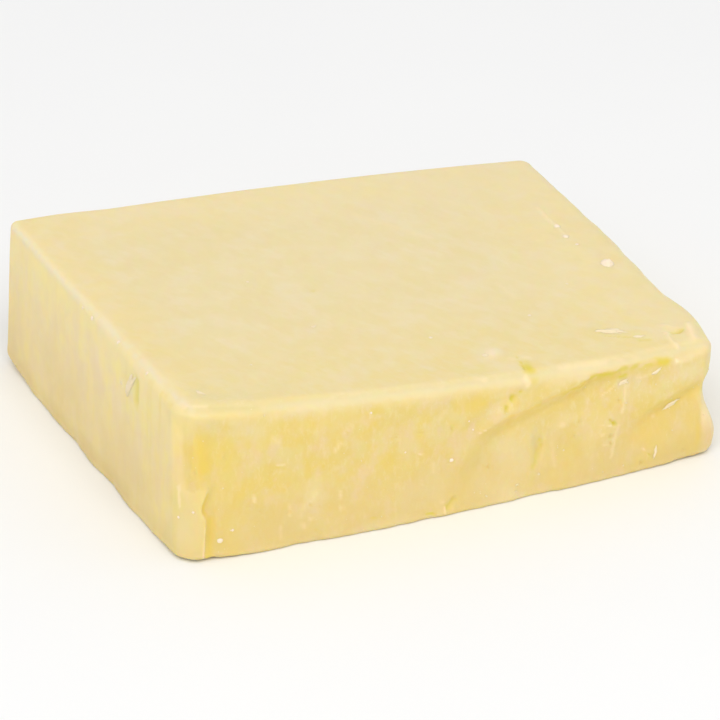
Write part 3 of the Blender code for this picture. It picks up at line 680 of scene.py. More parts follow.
def underside_middle(lines, i, j):
    """Which squares of the underside belong to its flat middle: not its ring or near corner."""
    ring, corner_i, corner_j = underside_ring(lines)
    inside = (i >= ring) & (i < len(lines[0]) - 1 - ring) & (j >= ring) & (j < len(lines[1]) - 1 - ring)
    return inside & ~((i < corner_i) & (j < corner_j))


def edge_radii(box):
    """The rounding radius at each point, in plan and in height."""
    x, y, z = box.T
    left = 1 - smooth_step(*LEFT_EDGE_X, x)
    less = LEFT_EDGE_LESS * left * smooth_step(*LEFT_EDGE_Y, y)
    up = smooth_step(0, SIZE[2], z)
    foot = sum(extra * bump(np.hypot(x - at[0], y - at[1]), CORNER_REACH) for at, extra in FOOT_EXTRAS)
    vertical = np.where(z < SIZE[2] / 2, BOTTOM_EDGE_RADIUS + foot, TOP_EDGE_RADIUS - less)
    plan = BOTTOM_EDGE_RADIUS + (TOP_EDGE_RADIUS - less - BOTTOM_EDGE_RADIUS) * up + foot * (1 - up)
    for corner_x, corner_y in itertools.product((0, SIZE[0]), (0, SIZE[1])):
        extra = NEAR_CORNER_EXTRA if (corner_x, corner_y) == (0, 0) else OTHER_CORNER_EXTRA
        plan = plan + extra * bump(np.hypot(x - corner_x, y - corner_y), CORNER_REACH)
    return np.stack([plan, plan, vertical], axis=1)


def rounded(box):
    """Pulls the points near the edges of the box in, onto an ellipse arc round each edge."""
    radii = edge_radii(box)
    core = np.clip(box, radii, SIZE - radii)
    reach = (box - core) / radii
    length = np.linalg.norm(reach, axis=1, keepdims=True)
    return core + radii * reach / np.maximum(length, 1)


def skewed(box):
    """Moves the box's eight corners to where the cuts left them, and all between them in step."""
    share = box / SIZE
    moved = box.copy()
    for (side, face, level), shift in CORNER_SHIFTS.items():
        across = share[:, 0] if side == "right" else 1 - share[:, 0]
        inward = share[:, 1] if face == "back" else 1 - share[:, 1]
        upward = share[:, 2] if level == "top" else 1 - share[:, 2]
        moved += (across * inward * upward)[:, None] * np.array(shift)
    return moved


def bowed(box, moved):
    """Bows the front, the back and the right end out, sags the top in front and lifts it behind:
    4s(1 - s) of the share s along the block, faded from front to back."""
    along, inward = np.clip(box[:, :2] / SIZE[:2], 0, 1).T
    arch = 4 * along * (1 - along)
    moved[:, 0] += END_BOW * along * (4 * inward * (1 - inward)) ** 2
    moved[:, 1] += arch * (BACK_BOW * inward - FRONT_BOW * (1 - inward))
    moved[:, 2] += arch * (TOP_RISE * inward - TOP_SAG * (1 - inward)) * box[:, 2] / SIZE[2]
    return moved


def scooped(ring, z, rim, hard=1.0):
    """The share of a scoop's depth: it drops off at its rim and slowly flattens inwards. A hard
    rim drops off at once, and a soft one bends down first."""
    floor = FLOOR_SHARE + (1 - FLOOR_SHARE) * smooth_step(FLOOR_RING, 1, ring)
    inside = np.clip((rim[1] - ring) / (rim[1] - rim[0]), 0, 1)
    drop = hard * (1 - (1 - inside) ** 2) + (1 - hard) * smooth_step(0, 1, inside)
    return floor * drop * smooth_step(*SCOOP_FEET, z)


def scoop_ring(points):
    """The front scoop's ring number: 0 at its centre and 1 at its rim, which lies out and in."""
    x, _, z = points.T
    ring = np.hypot((x - SCOOP_CENTRE_X) / SCOOP_HALF_WIDTH, z / SCOOP_HEIGHT)
    return ring + layered(points, RIM_WANDER) - np.interp(x, RIM_X, RIM_OUT)


def between(first, second, share):
    """Pairs of numbers that go from the first pair to the second as share goes from 0 to 1."""
    return [start + (end - start) * share for start, end in zip(first, second)]


def front_scoop(points):
    """How far the front stands back in its scoop, with the lip and the valley over the rim."""
    x, _, z = points.T
    ring = scoop_ring(points)
    sharp = smooth_step(*SOFT_RIM_X, x)
    rim = between(SOFT_RIM, RIM, sharp)
    along = smooth_step(*SCOOP_STARTS, x) * (1 - smooth_step(*SCOOP_ENDS, x))
    hard = smooth_step(*HARD_LIP_X, x)
    rise = smooth_step(*between(SOFT_RISE, HARD_RISE, hard), ring - rim[1])
    lip = LIP_BULGE * bump(ring - LIP_PLACE, LIP_WIDTH) * rise
    valley = VALLEY_DEPTH * bump(ring - VALLEY_PLACE, VALLEY_WIDTH) * bump(x - VALLEY_X, VALLEY_REACH)
    return along * (SCOOP_DEPTH * scooped(ring, z, rim, hard) - lip) + valley


def crest_height(x):
    """How high the second hollow's crest is along the front."""
    return HOLLOW_Z[0] + (HOLLOW_Z[1] - HOLLOW_Z[0]) * smooth_step(*HOLLOW_X, x)


def hollow(x, z):
    """The second hollow: a sharp drop under a crest that rises to the right, and a bulge over it."""
    crest = crest_height(x)
    grown = smooth_step(HOLLOW_X[0], sum(HOLLOW_X) / 2, x)
    below = smooth_step(-HOLLOW_DROP, HOLLOW_DROP, crest - z)
    fading = smooth_step(-HOLLOW_FALL, 0, z - crest)
    over = bump(z - crest - BULGE_REACH, BULGE_REACH)
    kept = 1 - HOLLOW_END_SHARE * smooth_step(*HOLLOW_END, x)
    return grown * kept * (HOLLOW_DEPTH * below * fading - BULGE_HEIGHT * over)


def skin_edge(z):
    """Where the skin's ragged edge stands along the front at each height."""
    return np.interp(z, SKIN_EDGE_Z, SKIN_EDGE_X)


def corner_skin(x, z):
    """The lapping skin, which stands out up to its edge, the sink along that, and the pocket."""
    edge = skin_edge(z)
    low = 1 - smooth_step(*SKIN_TOP, z)
    past_edge = smooth_step(edge - SKIN_EDGE, edge + SKIN_EDGE, x)
    skin = SKIN_THICKNESS * smooth_step(0, edge / 2, x) * (1 - past_edge) * smooth_step(*SKIN_FOOT, z)
    sink = SKIN_SINK_DEPTH * bump(x - edge - SKIN_SINK, SKIN_SINK) * smooth_step(*SKIN_SINK_Z, z)
    return low * (sink - skin) + POCKET_DEPTH * oval(x, z, (POCKET_X, POCKET_Z), POCKET_HALF)


def jag(x, z):
    """The upright nick in the scoop's floor."""
    return JAG_DEPTH * oval(x, z, (JAG_X, JAG_Z), JAG_HALF)


def right_end(y, z):
    """How far the right end stands out: shoulder and belly, less the waist and the end's scoop."""
    fade = 1 - END_FADE_SHARE * smooth_step(0, END_FADE, y)
    waist = WAIST_DEPTH * bump(z - WAIST_Z, WAIST_REACH)
    belly = BELLY_BULGE * bump(z - BELLY_Z, WAIST_REACH)
    shoulder = SHOULDER_BULGE * bump(y - SHOULDER_Y, SHOULDER_REACH) * smooth_step(*SHOULDER_Z, z)
    ring = np.hypot((y - END_SCOOP_Y) / END_SCOOP_HALF_WIDTH, z / END_SCOOP_HEIGHT)
    return fade * (belly - waist) + shoulder - END_SCOOP_DEPTH * scooped(ring, z, END_RIM)


def swellings(x, z):
    """How far the front's soft swellings stand out: an oval bell curve for each."""
    return sum(rise * oval(x, z, place, reach) for place, reach, rise in SWELLINGS)


def broken(box, moved):
    """Carves the broken front and right end into the shape, and leaves the underside flat."""
    insides = box[:, 0], box[:, 1], SIZE[0] - box[:, 0], SIZE[1] - box[:, 1]
    left, front, end, back = (1 - smooth_step(0, SIDE_REACH, inside) for inside in insides)
    x, y, z = moved.T.copy()
    crags = layered(moved, CRAGS)
    hollows = front_scoop(moved) + hollow(x, z) + corner_skin(x, z) + jag(x, z)
    moved[:, 1] += front * (hollows + crags - swellings(x, z))
    waves = layered(moved, FOOT_NOISE) * FOOT_WAVES * (1 - smooth_step(*FOOT_Z, z))
    moved[:, 1] += front * waves - back * waves ** 2 / FOOT_WAVES
    moved[:, 0] += left * waves
    rough = END_CRAGS * smooth_step(*END_CRAGS_FROM, y) * (1 - smooth_step(*END_CRAGS_UP_TO, z))
    chips = layered(moved, CHIPS) * smooth_step(*CHIPS_Z, z) * smooth_step(*CHIPS_Y, y)
    moved[:, 0] += end * (right_end(y, z) + rough * crags + chips)
    return moved


def top_edge(below, inward, centre, reach):
    """A band along one side's top edge, from how far down the side and how far in from it a point
    is: a bell curve round a centre line, which is lower where it is positive."""
    off = np.minimum(below, inward) / BAND_DEPTH
    return bump(np.hypot((below - inward - centre) / reach, off), 1)


def corner_normals(points, squares):
    """Each point's outward direction: the sum of its squares' diagonal cross products, unit long."""
    diagonals = points[squares[:, 2:]] - points[squares[:, :2]]
    across = np.cross(diagonals[:, 0], diagonals[:, 1])
    total = np.stack([
        np.bincount(squares.ravel(), np.repeat(across[:, axis], 4), len(points)) for axis in range(3)
    ], axis=1)
    total[points[:, 2] == 0] = (0, 0, -1)
    return total / np.linalg.norm(total, axis=1, keepdims=True)


def looks_along(normals, face):
    """How far each point looks the way of that face: 0 from 70 degrees off it, 1 within 37."""
    return smooth_step(LOOKS_FROM, LOOKS_FULLY, normals @ np.array(FACES[face][1], float))


def marked(points, looks):
    """The height, the chalkiness and the depth of colour, painted shade in the dents, that the marks
    add at each point: a bell curve of the distance to each mark's line, in that face's plane, with the
    points first pushed about by noise. looks says how far each point looks the way of each face."""
    cell, ragged, seed = MARK_RAGGED
    pushed = points + ragged * np.stack([smooth_noise(points, cell, seed + k) for k in range(3)], axis=1)
    height, white, deep = np.zeros((3, len(points)))
    for face, rows in MARKS:
        flat = pushed[:, FACES[face][0]]
        for half_width, rise, tint, *line in rows:
            share = bump(line_distance(flat, np.reshape(line, (-1, 2))), half_width) * looks[face]
            height += rise * share
            white = np.maximum(white, tint * share)
            deep = np.maximum(deep, -tint * share)
    return height, white, deep


class Surface:
    """The block's surface: its points and squares, and a share from 0 to 1 at each point for each
    finish, all worked out from the box that the lattice stands for."""

    def __init__(self, settings):
        lines = [crowded_lines(gaps) for gaps in (X_GAPS, Y_GAPS, Z_GAPS)]
        box, self.squares, self.middle = lattice_box(lines)
        points = broken(box, bowed(box, skewed(rounded(box))))
        self.points = points
        self.normals = corner_normals(points, self.squares)
        self.looks = {face: looks_along(self.normals, face) for face in FACES}
        self.below = SIZE[2] - box[:, 2]
        self.inward = {
            "front": box[:, 1], "left": box[:, 0], "end": SIZE[0] - box[:, 0], "back": SIZE[1] - box[:, 1],
        }
        self.noise = {name: smooth_noise(points, *noise) for name, noise in TINT_NOISES.items()}
        self.share = {finish: np.zeros(len(points)) for finish in FINISHES}
        self.marks, white, deep = marked(points, self.looks)
        self.lay("white", white)
        # Painted shade in the cracks and dents of the marks.
        self.lay("olive_and_crack_shade", deep)
        self.lay_fields()
        self.lay_bands()
        self.lay_broken()
        self.lay_corner()
        self.lay_scoop()
        self.lay_tints()
        self.carve(settings)

    def lay(self, finish, *shares):
        """Raises the finish's share at each point to the greatest of these."""
        self.share[finish] = np.maximum.reduce([self.share[finish], *shares])

    def lay_fields(self):
        """The soft fields, ovals with an uneven outline on the faces that look their way."""
        uneven = 1 + 0.4 * self.noise["wander"] + 0.3 * self.noise["fine"]
        for (face, finish), rows in FIELDS.items():
            flat = self.points[:, FACES[face][0]]
            for at_x, at_y, reach_x, reach_y, strength in rows:
                away = np.linalg.norm((flat - (at_x, at_y)) / (reach_x, reach_y), axis=1)
                self.lay(finish, strength * bump(away * uneven, 1) * self.looks[face])

    def lay_bands(self):
        """The bands along the top edges."""
        x, y, _ = self.points.T
        near = smooth_step(*NEAR_Y, y)
        wander, broad, fine, spots = self.noise.values()
        blobs = smooth_step(*BLOBS, fine + 0.6 * wander)
        patterns = {
            "even": 1,
            "ragged": RAGGED + RAGGED_BROAD * broad + RAGGED_OTHERS * (wander + fine + spots),
            "milky": 0.45 + 0.55 * blobs,
            "chalky": 0.5 + 0.5 * blobs,
            "past_corner": smooth_step(*PAST_CORNER_X, x),
            "scattered": smooth_step(*SCATTERED, broad + 0.5 * spots),
        }
        for finish, face, pattern, strength, centre, reach, shift in BANDS:
            strength, centre, reach = (far + gain * near for far, gain in (strength, centre, reach))
            centre = centre + shift[0] * wander + shift[1] * fine
            band = top_edge(self.below, self.inward[face], centre, reach)
            self.lay(finish, strength * patterns[pattern] * band)

    def lay_tints(self):
        """The broad tints, each bounded by smooth steps."""
        measures = dict(zip("xyz", self.points.T), below=self.below)
        for finish, face, strength, *spans in TINTS:
            tint = strength * self.looks[face]
            for measure, gone, whole, *shift in spans:
                noise, reach = shift or ("broad", 0)
                tint = tint * smooth_step(gone, whole, measures[measure] + reach * self.noise[noise])
            self.lay(finish, tint)

    def lay_broken(self):
        """The broken faces, which end in an uneven line at the skin and below the top edge."""
        x, _, z = self.points.T
        wander = self.noise["wander"]
        front, end = (
            smooth_step(*FRESH_INWARD, self.inward[face] + 0.8 * wander) for face in ("front", "end")
        )
        edge = np.where(z < FRESH_SKIN_TOP, skin_edge(z), FRESH_CORNER_X)
        front *= smooth_step(*FRESH_PAST_EDGE, x - edge - 0.3 * wander)
        upper = smooth_step(*FRESH_BELOW, self.below + 1.1 * wander + 0.5 * self.noise["fine"])
        self.lay("fresh", np.maximum(front, end) * upper)

    def lay_corner(self):
        """The near corner's skin, the pale line along its edge, and the painted shadow past it."""
        x, y, z = self.points.T
        wander, facing, past = self.noise["wander"], self.looks["front"], x - skin_edge(z)
        line = bump(past + SKIN_LINE, SKIN_LINE_REACH) * smooth_step(*SKIN_LINE_Z, z)
        line *= smooth_step(*SKIN_LINE_DOTS, wander + self.noise["fine"])
        self.lay("white", 0.8 * line * facing)
        turn = SKIN_TURN + SKIN_TURN_FOOT * smooth_step(*SKIN_TURN_Z, z) - 0.7 * wander
        skin = smooth_step(*SKIN_X, past) * smooth_step(*SKIN_Z, z + 1.4 * wander)
        self.lay("lime", skin * smooth_step(*SKIN_Y, y - turn))
        # Painted shadow past the skin's edge.
        high = smooth_step(*HIGH_FROM_Z, z) * smooth_step(*HIGH_TO_Z, z)
        parts = (high, PAST_SKIN_HIGH), (smooth_step(*LOW_Z, z), PAST_SKIN_LOW)
        deep = sum(share * part * bump(past - away, reach) for part, (share, away, reach) in parts)
        self.lay("deep", 0.9 * deep * facing)

    def lay_scoop(self):
        """Painted shade in the creases under the lip and the crest, the spots on the lip, and the
        strip past it, pale and partly a painted highlight.
        """
        x, _, z = self.points.T
        facing, ring = self.looks["front"], scoop_ring(self.points)
        # Painted shade in the creases under the lip and under the crest.
        foot = CREASE_FOOT + CREASE_FOOT_HARD * smooth_step(*HARD_LIP_X, x)
        crease = smooth_step(foot - CREASE_WIDTH, foot, ring) * smooth_step(*CREASE_TOP, ring)
        crease *= facing * smooth_step(*CREASE_FROM_X, x) * smooth_step(*CREASE_TO_X, x)
        crease *= CREASE_SHARE - CREASE_LESS * smooth_step(*CREASE_LESS_X, x)
        crest = bump(z - crest_height(x) + CREST_DROP, CREST_REACH) * smooth_step(*CREST_X, x)
        self.lay("crease_shade", crease * (0.8 + 0.4 * self.noise["wander"]), 0.6 * crest * facing)
        # Painted shade in the soft crease at the scoop's left.
        soft = bump(ring - SOFT_CREASE, SOFT_CREASE_REACH)
        soft *= smooth_step(*SOFT_CREASE_FROM_X, x) * smooth_step(*SOFT_CREASE_TO_X, x)
        self.lay("deep", 0.30 * soft * facing ** 2)
        lip = bump(ring - LIP_LINE, LIP_LINE_REACH) * facing
        lip *= smooth_step(*LIP_FROM_X, x) * smooth_step(*LIP_TO_X, x)
        speckle = self.noise["fine"] + 0.6 * self.noise["spots"]
        self.lay("olive_and_crack_shade", lip * smooth_step(*LIP_SPOTS, speckle))
        self.lay("pink", 0.8 * lip * smooth_step(*LIP_CURDS, -speckle))
        # Pale cut cheese, and partly a painted highlight where the end's bulge catches the light.
        strip = smooth_step(*STRIP_X, x) * bump(z - STRIP_Z, STRIP_REACH)
        self.lay("white", STRIP_SHARE * strip * facing)

    def carve(self, settings):
        """Adds the fine relief along the normals, and leaves the underside flat."""
        points, looks, share = self.points, self.looks, self.share
        _, y, z = points.T
        fresh = share["fresh"] * (1 - 0.7 * share["lime"])
        height = fresh * settings.grain / MM * layered(points, CURDS)
        distance, number = nearest_seed(points, PIT_CELL, PIT_SEED)
        pit = fresh * (number < settings.pit_share) * smooth_step(*PIT_EDGE, distance)
        height -= pit * settings.pit_depth / MM
        # Painted shade in the pits.
        self.lay("deep", PIT_SHADE * pit)
        side = np.maximum(looks["left"], looks["back"])
        drag = layered(points, DRAG_LINES)
        height += side * settings.drag / MM * drag
        near = smooth_step(*DRAG_NEAR_Y, y)
        share["streak"] = side * smooth_step(*STREAK_DRAG, drag) * (0.55 - 0.15 * near)
        self.lay("deep", (0.08 + 0.22 * near) * side * smooth_step(*GROOVE_DRAG, -drag))
        height += looks["top"] * layered(points, TOP_RELIEF) + self.marks
        height += fresh * smooth_step(*FOOT_CRUMBLE_Z, z) * layered(points, FOOT_CRUMBLE)
        self.points = points + self.normals * (height * smooth_step(*RELIEF_Z, z))[:, None]
        self.points[:, 2] = np.maximum(self.points[:, 2], 0)


def kept_inside(points, box):
    """The points drawn in, on each axis and side alike, until none is outside the box round the
    origin."""
    low, high = np.array(box)
    least, most = points.min(axis=0), points.max(axis=0)
    return points * np.where(points < 0, low / np.minimum(low, least), high / np.maximum(high, most))


def socket_of(value):
    """The Blender socket behind a wrapped one, or the value itself."""
    return value.socket if isinstance(value, Wrapped) else value


class Wrapped:
    """A socket of a node tree. Sums and products of numbers add their Math nodes."""

    def __init__(self, recipe, socket):
        self.recipe = recipe
        self.socket = socket

    def maths(self, operation, first, second):
        """The result of a Math node."""
        return self.recipe.add("Math", {"operation": operation}, {0: first, 1: second})

    def __add__(self, other):
        return self.maths("ADD", self, other)

    def __mul__(self, other):
        return self.maths("MULTIPLY", self, other)

    __radd__ = __add__
    __rmul__ = __mul__


class Recipe:
    """A new material, or the scene's world, as a node tree that is built up node by node."""

    def __init__(self, owner):
        self.owner = owner
        owner.use_nodes = True
        self.tree = owner.node_tree
        self.tree.nodes.clear()

    def add(self, kind, settings=None, inputs=None, output=0):
        """Adds a shader node, its settings first and then its sockets' values or links."""
        node = self.tree.nodes.new("ShaderNode" + kind)
        for name, value in (settings or {}).items():
            setattr(node, name, value)
        for name, value in (inputs or {}).items():
            value = socket_of(value)
            if isinstance(value, bpy.types.NodeSocket):
                self.tree.links.new(value, node.inputs[name])
            else:
                node.inputs[name].default_value = value
        return Wrapped(self, node.outputs[output]) if len(node.outputs) else node

    def share(self, name):
        """The share of a finish, as the surface carries it."""
        return self.add("Attribute", {"attribute_name": name}, output="Fac")

    def noise(self, place, size, detail=2.0, roughness=0.5):
        """Noise from 0 to 1 whose lumps are that size, in metres."""
        inputs = {"Vector": place, "Scale": 1 / size, "Detail": detail, "Roughness": roughness}
        return self.add("TexNoise", None, inputs)

    def between(self, value, low, high):
        """0 where the value is low or less, 1 where it is high or more, smooth between."""
        inputs = {"Value": value, "From Min": low, "From Max": high}
        return self.add("MapRange", {"interpolation_type": "SMOOTHSTEP"}, inputs)

    def patches(self, place, shift, size, tall, low, high):
        """Patches of noise of that size in mm, shifted in the noise and taller than they are wide."""
        inputs = {"Vector": place, "Location": (shift, 0, 0), "Scale": (1, 1, 1 / tall)}
        moved = self.add("Mapping", None, inputs)
        return self.between(self.noise(moved, size * MM, 3.0, 0.55), low, high)

    def streaks(self, place, shift, size, low, high):
        """Streaks of noise of that size in mm, shifted by mm and drawn out aslant across the top."""
        inputs = {
            "Vector": place, "Location": (shift * MM, 0, 0), "Rotation": (0, 0, STREAK_TURN),
            "Scale": (STREAK_STRETCH, 1, 1),
        }
        moved = self.add("Mapping", {"vector_type": "TEXTURE"}, inputs)
        return self.between(self.noise(moved, size * MM, 3.0), low, high)

    def mix(self, share, first, second):
        """A colour that goes from the first to the second as share goes from 0 to 1."""
        return self.add("Mix", {"data_type": "RGBA"}, {0: share, 6: first, 7: second}, output=2)

    def over(self, under, colours, layers):
        """Colours laid over the first one in turn, each by its share."""
        for name, share in layers:
            under = self.mix(share, under, tuple(getattr(colours, name)))
        return under

    def matter(self, inputs):
        """Ends a material with a Principled shader that has these inputs, and gives it back."""
        self.add("OutputMaterial", None, {"Surface": self.add("BsdfPrincipled", None, inputs)})
        return self.owner


def cheese_material(colours):
    """Waxy pale cheese where it was cut, deeper yellow and grainier where it broke: the surface's
    shares of each finish choose the colour, and patches of noise make it uneven."""
    recipe = Recipe(bpy.data.materials.new("cheddar"))
    place = recipe.add("TexCoord", output="Object")
    share, patch = recipe.share, {name: recipe.patches(place, *row) for name, row in PATCHES.items()}
    fresh, white, side, edge = share("fresh"), share("white"), share("side"), share("edge")
    speck = recipe.noise(place, SPECK * MM, 3.0, 0.65)
    streak = [recipe.streaks(place, *row) for row in STREAKS]
    upright = patch["upright"] * 0.70 + patch["slender"] * 0.25
    cut = recipe.over(tuple(colours.cut), colours, (
        ("cut_dull", patch["broad"] * 0.5),
        ("cut_warm", share("warm")),
        ("side", side),
        ("straw", streak[2] * 0.30),
        ("milk", streak[0] * 0.24 + streak[1] * 0.16 + patch["pale"] * 0.30),
        ("pink_milk", side * upright),
        ("side_gold", side * patch["golden_side"] * 0.58),
        ("side_dusk", side * patch["dusky"] * 0.42),
        ("pink_milk", share("streak") * 0.6),
        ("milk", share("milk")),
    ))
    broken_face = recipe.over(tuple(colours.fresh), colours, (
        ("fresh_pale", patch["pale"] * 0.75),
        ("deep", patch["golden"] * 0.48),
        ("pink", patch["curd"] * 0.64),
        ("milk", patch["thread"] * 0.30),
        ("rim", recipe.between(speck, 0.56, 0.72) * 0.30),
    ))
    colour = recipe.over(recipe.mix(fresh, cut, broken_face), colours, (
        ("edge", edge * 0.85),
        ("milk", edge * patch["edge_milk"] * 0.55),
        ("straw", edge * patch["edge_straw"] * 0.50),
        ("lime", share("lime") * (0.65 + 0.25 * patch["broad"])),
        # Painted shade, darker low on the sides and the front.
        ("blush", share("blush") * (0.6 + 0.4 * patch["broad"])),
        # Painted light under the top edges of the side and the front.
        ("gleam", share("gleam") * (0.7 + 0.3 * patch["pale"])),
        ("pink", share("pink") * (0.5 + 0.5 * patch["curd"])),
        ("rim", share("rim") * 0.85),
        # Painted shade in creases, hollows, cracks and on rounded edges, with deeper yellow and chalk.
        *((name, share(name)) for name in ("crease_shade", "deep", "olive_and_crack_shade", "shade", "chalk")),
        ("white", white),
    ))
    waxy = 0.40 + 0.16 * fresh + 0.12 * recipe.noise(place, 1.4 * MM, 3.0)
    roughness = waxy + 0.1 * white + 0.18 * edge
    grain = (0.012 + 0.05 * fresh) * speck + (0.01 + 0.04 * fresh) * recipe.noise(place, 0.25 * MM, 2.0)
    return recipe.matter({
        "Base Color": colour,
        "Roughness": roughness,
        "Normal": recipe.add("Bump", None, {"Strength": 0.7, "Distance": MM, "Height": grain}),
        "IOR": 1.42,
        "Subsurface Weight": 0.85,
        "Subsurface Radius": (1.0, 0.62, 0.22),
        "Subsurface Scale": 1.6 * MM,
    })


def dry_material(name, first, second):
    """Dry cheese: one colour with patches of another, nearly without sheen."""
    recipe = Recipe(bpy.data.materials.new(name))
    place = recipe.add("TexCoord", output="Object")
    patch = recipe.between(recipe.noise(place, 0.9 * MM, 3.0), 0.4, 0.62)
    grain = recipe.noise(place, 0.2 * MM, 2.0)
    return recipe.matter({
        "Base Color": recipe.mix(patch * 0.5, tuple(first), tuple(second)),
        "Roughness": 0.5 + 0.2 * grain,
        "Normal": recipe.add("Bump", None, {"Strength": 0.6, "Distance": 0.03 * MM, "Height": grain}),
        "IOR": 1.35,
    })


def new_piece(name, points, faces, material):
    """A mesh object in metres over the origin, inside the solid's box, from points in mm and the
    faces' numbers."""
    mesh = bpy.data.meshes.new(name)
    sizes = np.concatenate([np.full(len(part), part.shape[1]) for part in faces])
    corners = np.concatenate([part.ravel() for part in faces])
    mesh.vertices.add(len(points))
    mesh.vertices.foreach_set("co", kept_inside((points - MIDDLE) * MM, CAD_BOX).ravel())
    mesh.loops.add(len(corners))
    mesh.loops.foreach_set("vertex_index", corners)
    mesh.polygons.add(len(sizes))
    mesh.polygons.foreach_set("loop_start", np.cumsum(sizes) - sizes)
    mesh.update(calc_edges=True)
    mesh.shade_smooth()
    mesh.materials.append(material)
    piece = bpy.data.objects.new(name, mesh)
    bpy.context.scene.collection.objects.link(piece)
    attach(piece, BODY)
    return piece


def block_surface():
    """The finished block's points, in mm from the near corner, and its normals."""
    mesh = bpy.data.objects["cheddar_surface"].data
    points = np.empty(len(mesh.vertices) * 3)
    normals = np.empty(len(mesh.vertices) * 3)
    mesh.vertices.foreach_get("co", points)
    mesh.vertices.foreach_get("normal", normals)
    return points.reshape(-1, 3) / MM + MIDDLE, normals.reshape(-1, 3)


def seats(rows):
    """The surface points, and their normals, nearest to each row's place in its face's plane."""
    points, normals = block_surface()
    found = []
    for face, place, *_ in rows:
        axes, way = FACES[face]
        off = np.linalg.norm(points[:, axes] - np.array(place), axis=1)
        found.append(np.argmin(off + ELSEWHERE * (normals @ np.array(way, float) < SEAT_LOOKS)))
    return points[found], normals[found]


def globe(rings, segments):
    """A unit ball's points, ring by ring between two poles, and its squares and pole triangles."""
    down = np.pi * np.arange(1, rings + 1) / (rings + 1)
    round_ = 2 * np.pi * np.arange(segments) / segments
    down, round_ = np.meshgrid(down, round_, indexing="ij")
    points = np.stack([np.sin(down) * np.cos(round_), np.sin(down) * np.sin(round_), np.cos(down)], axis=-1)
    points = np.concatenate([[(0, 0, 1)], points.reshape(-1, 3), [(0, 0, -1)]])
    ring, place = np.meshgrid(np.arange(rings - 1), np.arange(segments), indexing="ij")
    first = 1 + ring * segments + place
    second = 1 + ring * segments + (place + 1) % segments
    squares = np.stack([first, first + segments, second + segments, second], axis=-1).reshape(-1, 4)
    place = np.arange(segments)
    after = (place + 1) % segments
    last = 1 + (rings - 1) * segments
    top = np.stack([np.zeros(segments, int), 1 + place, 1 + after], axis=1)
    bottom = np.stack([np.full(segments, len(points) - 1), last + after, last + place], axis=1)
    return points, squares, np.concatenate([top, bottom])


def lumps(seated, sizes, form, detail, rough, square, seed):
    """Closed lumps on the surface: each ball direction is pushed out by noise, squared off by
    raising its height to a power and stretched to the lump's half sizes. With s the place along
    it from -1 to 1, its width is times 1 - taper s, and it is curled up and bent aside by s
    squared. It stands on its seat, turned about the normal there. form has each lump's turn in
    radians, curl, taper and bend."""
    ball, squares, ends = globe(*detail)
    (places, normals), (turns, curls, tapers, bends) = seated, form.T
    count = len(places)
    shift = np.random.default_rng(seed).uniform(0, LUMP_SHIFT, (count, 1, 3))
    pushed = np.ones((count, len(ball), 1))
    for height, crowding in LUMP_NOISES:
        places_in_noise = (ball * crowding + shift).reshape(-1, 3)
        pushed += height * rough * smooth_noise(places_in_noise, 1.0, seed).reshape(count, -1, 1)
    shape = np.sign(ball) * np.abs(ball) ** np.array([1.0, 1.0, square]) * pushed
    along = shape[..., :1]
    shape = shape * sizes[:, None, :]
    shape[..., 1:2] *= 1 - tapers[:, None, None] * along
    shape[..., 1:2] += (bends * sizes[:, 0])[:, None, None] * along ** 2
    shape[..., 2:] += curls[:, None, None] * along ** 2 - SUNK * sizes[:, None, 2:]
    upright = np.where(np.abs(normals[:, 2:]) > UPWARDS, (0.0, 1.0, 0.0), (0.0, 0.0, 1.0))
    first = np.cross(upright, normals)
    first /= np.linalg.norm(first, axis=1, keepdims=True)
    second = np.cross(normals, first)
    cos, sin = np.cos(turns)[:, None], np.sin(turns)[:, None]
    axes = np.stack([cos * first + sin * second, cos * second - sin * first, normals], axis=1)
    points = places[:, None] + np.einsum("nvk,nkc->nvc", shape, axes)
    offset = (np.arange(count) * len(ball))[:, None, None]
    return points.reshape(-1, 3), [(squares + offset).reshape(-1, 4), (ends + offset).reshape(-1, 3)]


def length(name, description, default, least, most):
    """A property that is a length in metres."""
    return FloatProperty(
        name=name, description=description, default=default, min=least, max=most,
        subtype="DISTANCE", unit="LENGTH",
    )


